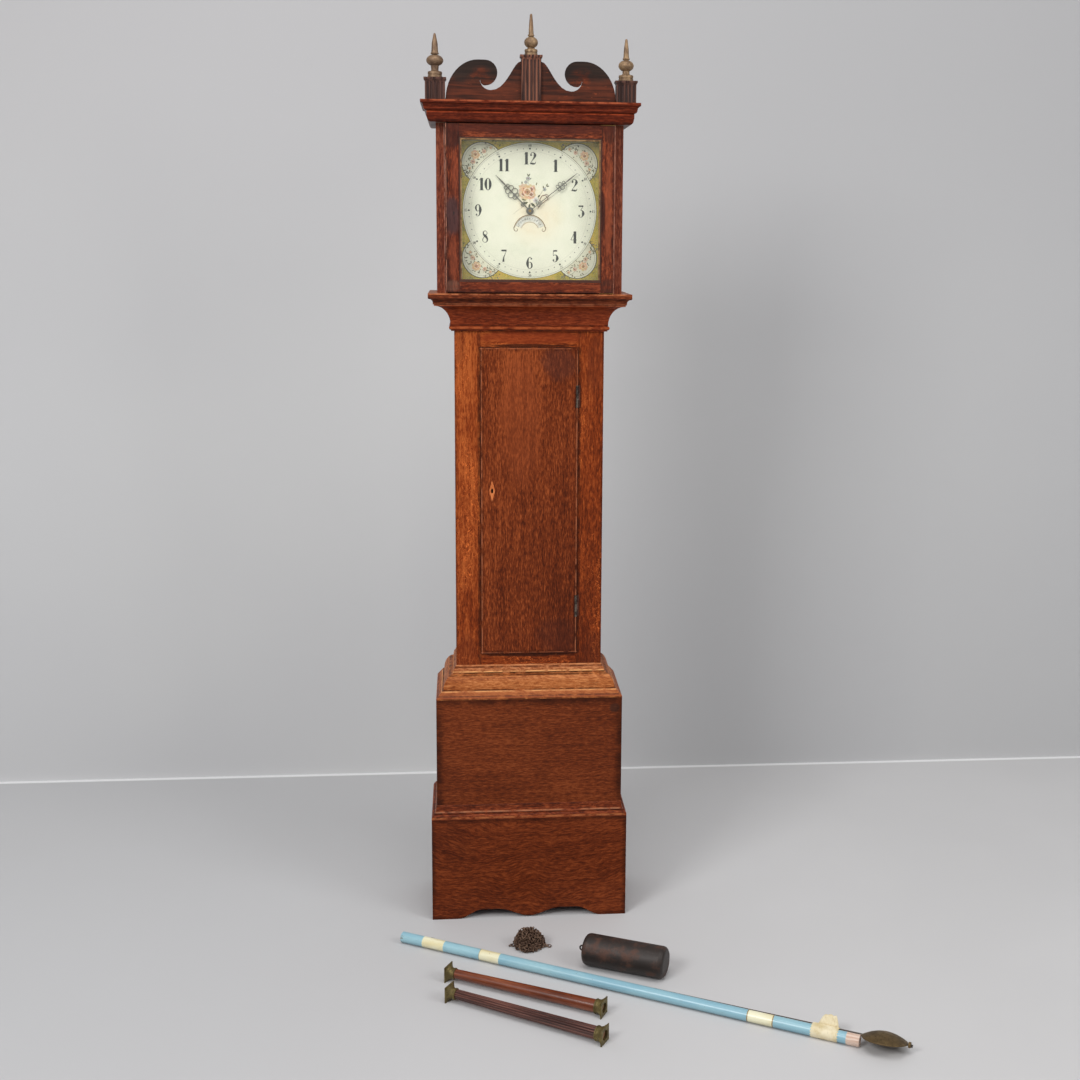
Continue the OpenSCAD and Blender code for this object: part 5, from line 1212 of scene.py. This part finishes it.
def build_dial(scene):
    sizes = scene.clock_sizes
    black = plain_paint("figure_black", "222221 8c8a7e", 0.35)
    grey = plain_paint("figure_grey", "545044 b4b29c", 0.5)
    dress("dial_plate", dial_ground())
    hours, minutes = Painting(DIAL_Z), Painting(DIAL_Z)
    for hour in range(1, 13):
        a = math.radians(90 - 30 * hour)
        write_number(hours, hour, sizes.figure_circle, a, sizes.figure_height, layer=3)
        write_number(minutes, 5 * hour, MINUTE_CIRCLE, a, 6.2, steps=3)
    hours.finish("hour_figures", black)
    minutes.finish("minute_figures", grey)
    turns = [2 * math.pi * i / 60 for i in range(60)]
    ring = new_mesh("dot_ring", [(DOT_CIRCLE * math.sin(a), DIAL_FRONT - PAINT_LAYER,
                                  DIAL_Z + DOT_CIRCLE * math.cos(a)) for a in turns])
    dots_tree(black).make("minute_dots", ring, grey, "case", "dial_paint")
    art = painted_art()
    rng = random.Random(11)
    for name, *sides in (("upper_left", -1, 1), ("upper_right", 1, 1), ("lower_left", -1, -1),
                         ("lower_right", 1, -1)):
        spray = Painting(DIAL_Z)
        corner_spray(spray, *sides, rng)
        spray.finish("flowers_" + name, art)
    spray = Painting(DIAL_Z)
    centre_spray(spray, rng)
    spray.finish("flowers_centre", art)

    def arc(radius, width, first, last, step):
        return [(radius * math.cos(math.radians(a)), radius * math.sin(math.radians(a)), width)
                for a in range(first, last, step)]
    window = Painting(DATE_Z)
    curl = [(36.8, 8.6, 1.7), (36.0, 2.8, 1.6), (32.2, -0.4, 1.4), (28.6, 1.4, 1.2),
            (28.8, 4.8, 0.9), (31.2, 5.4, 0.6)]
    window.ribbon(curl[::-1] + arc(36.6, 1.9, 14, 167, 8) + [(-u, v, w) for u, v, w in curl],
                  None, 3, 5)
    window.ribbon(arc(20.6, 0.9, 20, 161, 10), None, 3, 4)
    window.finish("date_edge", metal("date_edge_bronze", "967a54 70563c 463626", 0.5, 0.5, 0.4),
                  "case", "brass")
    disc = Finish("date_disc_paint")
    cloud = disc.noise(60.0, 4.0, 0.6)
    disc.colour = disc.mix(cloud.step(0.4, 0.7), "e0e0d4", "c4c2b0")
    dress("calendar_disc", disc.close(0.45, cloud, 0.0002, 0.2))
    dates = Painting(DATE_Z, DATE_LO.y - 0.00002, rise=0.00000002)
    for day in range(1, 32):
        a = math.radians(90 - 360 * (day - 1) / 31)
        write_number(dates, day, DATE_CIRCLE, a, 4.6, upright=False, steps=3)
    dates.finish("date_figures", black, "calendar_disc")
    dress("minute_hand hour_hand", iron("hand_iron", "68665e 625444 969488", 0.5, 0.3))


def build_movement(scene):
    dress("front_plate back_plate back_cock_and_bell_stand movement_pillars",
          metal("plate_brass", "c4a060 88663a 463422", 0.34))
    dress("great_wheel second_wheel escape_wheel cannon_wheel minute_wheel hour_wheel "
          "strike_great_wheel hoop_wheel fly count_wheel lock_bolt hood_door_pivots",
          metal("wheel_brass", "d0ac68 967240 3e2e1e", 0.3, 0.4, scale=1.6))
    dress("pallets hammer", metal("arbor_steel", "969696 68625c 3a322c", 0.32, 0.4))
    dress("bell", metal("bell_metal", "967a50 604c32 342a1e", 0.4, 0.6, scale=0.7))
    lock, leaves = Finish("lock_iron"), Finish("hinge_iron")
    cloud = lock.noise(90.0, 4.0, 0.65)
    # Near-black painted shade on the lock case round the keyhole, where the hole is dark
    hole = lock.far(lock.x - LOCK_X, lock.z - LOCK_Z)
    lock.colour = lock.mix(hole.step(0.006, 0.008), "040303", lock.mix(cloud, "342c28", "563e30"))
    dress("lock_case", lock.close(0.6, cloud, 0.0003, 0.4))
    cloud = leaves.noise(90.0, 4.0, 0.65)
    knuckle = leaves.x.band(0.1132, 0.0028, 0.0006)
    leaves.colour = leaves.mix(knuckle, leaves.mix(cloud, "401c0e", "622c16"),
                               leaves.mix(cloud.step(0.4, 0.6), "342a24", "6c5e52"))
    dress("case_hinge_leaves door_hinge_leaves",
          leaves.close(0.42, cloud, 0.0003, 0.4, metal=knuckle * 0.5))


def build_chain(scene):
    length = scene.clock_sizes.link_length
    rust = metal("chain_brown", "8c705c 543e32 261b16", 0.42, 0.5, 0.6, scale=2.0)
    lift = 0.0038
    mound = mound_mesh(0.0400, 0.0425)
    mound.transform(Matrix.Translation((0, 0, lift)))
    heap = heap_tree(rust).make("chain_links", mound, rust, "chain_heap", "dark_brass",
                                link_length=length)
    heap.data.transform(Matrix.Translation(HEAP))
    rest_on_floor(heap)
    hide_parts("chain_heap")
    tree = tail_tree(rust)
    for name, start, step, count in (
            ("chain_tail_left", (-0.0370, 0.003, lift), (-0.0056, 0.0004, 0.0), 2),
            ("chain_tail_right", (0.0365, -0.004, lift), (0.0056, -0.0016, 0.0), 3)):
        line = new_mesh(name + "_line", [[a + b + c * i for a, b, c in zip(start, HEAP, step)]
                                         for i in range(count)])
        rest_on_floor(tree.make(name, line, rust, "chain_heap", "dark_brass",
                                link_length=length))


def build_loose(scene):
    dress("weight", iron("weight_iron", "2e2622 583626 544a44", 0.5, 0.25,
                         Vector((118, -461, 36)) * MM, math.radians(-25.1)))
    dress("column_smooth", turned_oak("turned_smooth", "482011 70361d 965636",
                                      Vector((-196.4, -513.7, 18)) * MM, math.radians(-28)))
    dress("column_reeded", turned_oak("turned_reeded", "2a140f 48261e 6c3e32",
                                      Vector((-193.3, -601.7, 18)) * MM, math.radians(-31.5),
                                      (0.010445, 0.009214)))
    dress("column_smooth_caps column_reeded_caps",
          metal("cap_brass", "8a7a4a 54482c 261f14", 0.42, 0.7, 0.7, scale=1.4))
    dress("pole", pole_paint())
    dress("pendulum_rod", iron("rod_iron", "4a423c 5c3e2c 787068", 0.5, 0.5))
    dress("pendulum_bob rating_nut", metal("bob_brass", "78623e 54442e 2c241a", 0.42, 0.6, 0.7))
    tape_wrap(tape_paper())


def tape_wrap(material):
    """Tape wound round pole and rod near the end, with a torn end that stands up beyond."""
    cos, sin = math.cos(POLE_TURN), math.sin(POLE_TURN)

    def put(s, across, up):
        return (POLE_START.x + s * cos - across * sin, POLE_START.y + s * sin + across * cos,
                POLE_START.z + up)
    rng = random.Random(3)
    rod_side, rod_up, pole_r, rod_r = 0.01406, 0.00656, 0.0125, 0.0025
    first, last, stations, sides = 0.993, 1.050, 17, 48
    outline = []
    for i in range(sides):
        a = 2 * math.pi * i / sides
        c, s = math.cos(a), math.sin(a)
        reach = max(pole_r, rod_side * c + rod_up * s + rod_r) + 0.0003
        outline.append((c * reach, max(s * reach, -0.0124)))
    points = []
    for k in range(stations):
        end = k in (0, stations - 1)
        for i, (a, b) in enumerate(outline):
            ragged = 0.0014 * math.sin(i * 1.7) if end else 0
            puff = 1 + (0 if end else 0.028 * rng.random())
            points.append(put(first + (last - first) * k / (stations - 1) + ragged, a * puff,
                              max(b * puff, -0.01245)))
    make_piece("tape_wrap", points, grid_faces(stations, sides, True), material,
               "pendulum_on_pole", smooth=True)
    points, rows = [], 9
    for i in range(rows):
        t = i / (rows - 1)
        across = 0.0128 + 0.020 * t - 0.006 * t * t
        up = 0.0095 + 0.022 * math.sin(t * 2.0) - 0.002 * t
        for k in range(rows):
            w = k / (rows - 1)
            crinkle = 0.0012 * math.sin(9 * w + 5 * t) * t
            torn = 0.0026 * math.sin(23 * w) * (i == rows - 1)
            points.append(put(1.003 + (0.045 - 0.031 * t) * w + 0.020 * t,
                              across + torn + crinkle, up + crinkle))
    flap = make_piece("tape_flap", points, grid_faces(rows, rows), material,
                      "pendulum_on_pole", smooth=True)
    flap.modifiers.new("Thickness", "SOLIDIFY").thickness = 0.00025


# Operators and panel

class CLOCK_OT_stage(bpy.types.Operator):
    """Camera at the photograph's place, pale floor and wall, soft lamps"""
    bl_idname = "clock.stage"
    bl_label = "Stage"

    def execute(self, context):
        build_stage(context.scene)
        return {"FINISHED"}


class CLOCK_OT_case(bpy.types.Operator):
    """Oak of the plinth, base, trunk and its door"""
    bl_idname = "clock.case"
    bl_label = "Case"

    def execute(self, context):
        build_case(context.scene)
        return {"FINISHED"}


class CLOCK_OT_hood(bpy.types.Operator):
    """Hood with its door, crest, blocks and finials"""
    bl_idname = "clock.hood"
    bl_label = "Hood"

    def execute(self, context):
        build_hood(context.scene)
        return {"FINISHED"}


class CLOCK_OT_dial(bpy.types.Operator):
    """Painted dial with its figures, dots, flowers, date ring and hands"""
    bl_idname = "clock.dial"
    bl_label = "Dial"

    def execute(self, context):
        build_dial(context.scene)
        return {"FINISHED"}


class CLOCK_OT_movement(bpy.types.Operator):
    """Brass and steel of the movement, its bell and the fittings of the doors"""
    bl_idname = "clock.movement"
    bl_label = "Movement and fittings"

    def execute(self, context):
        build_movement(context.scene)
        return {"FINISHED"}


class CLOCK_OT_chain(bpy.types.Operator):
    """Heap of chain links with two short tails"""
    bl_idname = "clock.chain"
    bl_label = "Chain"

    def execute(self, context):
        build_chain(context.scene)
        return {"FINISHED"}


class CLOCK_OT_loose(bpy.types.Operator):
    """Weight, columns, pole with its tape, and the pendulum"""
    bl_idname = "clock.loose"
    bl_label = "Loose pieces"

    def execute(self, context):
        build_loose(context.scene)
        return {"FINISHED"}


class CLOCK_PT_looks(bpy.types.Panel):
    """Steps that finish the clock"""
    bl_label = "Longcase clock"
    bl_idname = "CLOCK_PT_looks"
    bl_space_type = "VIEW_3D"
    bl_region_type = "UI"
    bl_category = "Clock"

    def draw(self, context):
        for group in (context.scene.clock_sizes, context.scene.clock_colours):
            for name in group.__annotations__:
                self.layout.prop(group, name)
        for operator in STEPS:
            self.layout.operator(operator.bl_idname)


STEPS = (CLOCK_OT_stage, CLOCK_OT_case, CLOCK_OT_hood, CLOCK_OT_dial, CLOCK_OT_movement,
         CLOCK_OT_chain, CLOCK_OT_loose)
CLASSES = (ClockSizes, ClockColours, *STEPS, CLOCK_PT_looks)


def register():
    for kind in CLASSES:
        bpy.utils.register_class(kind)
    bpy.types.Scene.clock_sizes = bpy.props.PointerProperty(type=ClockSizes)
    bpy.types.Scene.clock_colours = bpy.props.PointerProperty(type=ClockColours)


def unregister():
    del bpy.types.Scene.clock_colours
    del bpy.types.Scene.clock_sizes
    for kind in reversed(CLASSES):
        bpy.utils.unregister_class(kind)


def main():
    register()
    bpy.ops.clock.stage()
    bpy.ops.clock.case()
    bpy.ops.clock.hood()
    bpy.ops.clock.dial()
    bpy.ops.clock.movement()
    bpy.ops.clock.chain()
    bpy.ops.clock.loose()


if __name__ == "__main__":
    main()
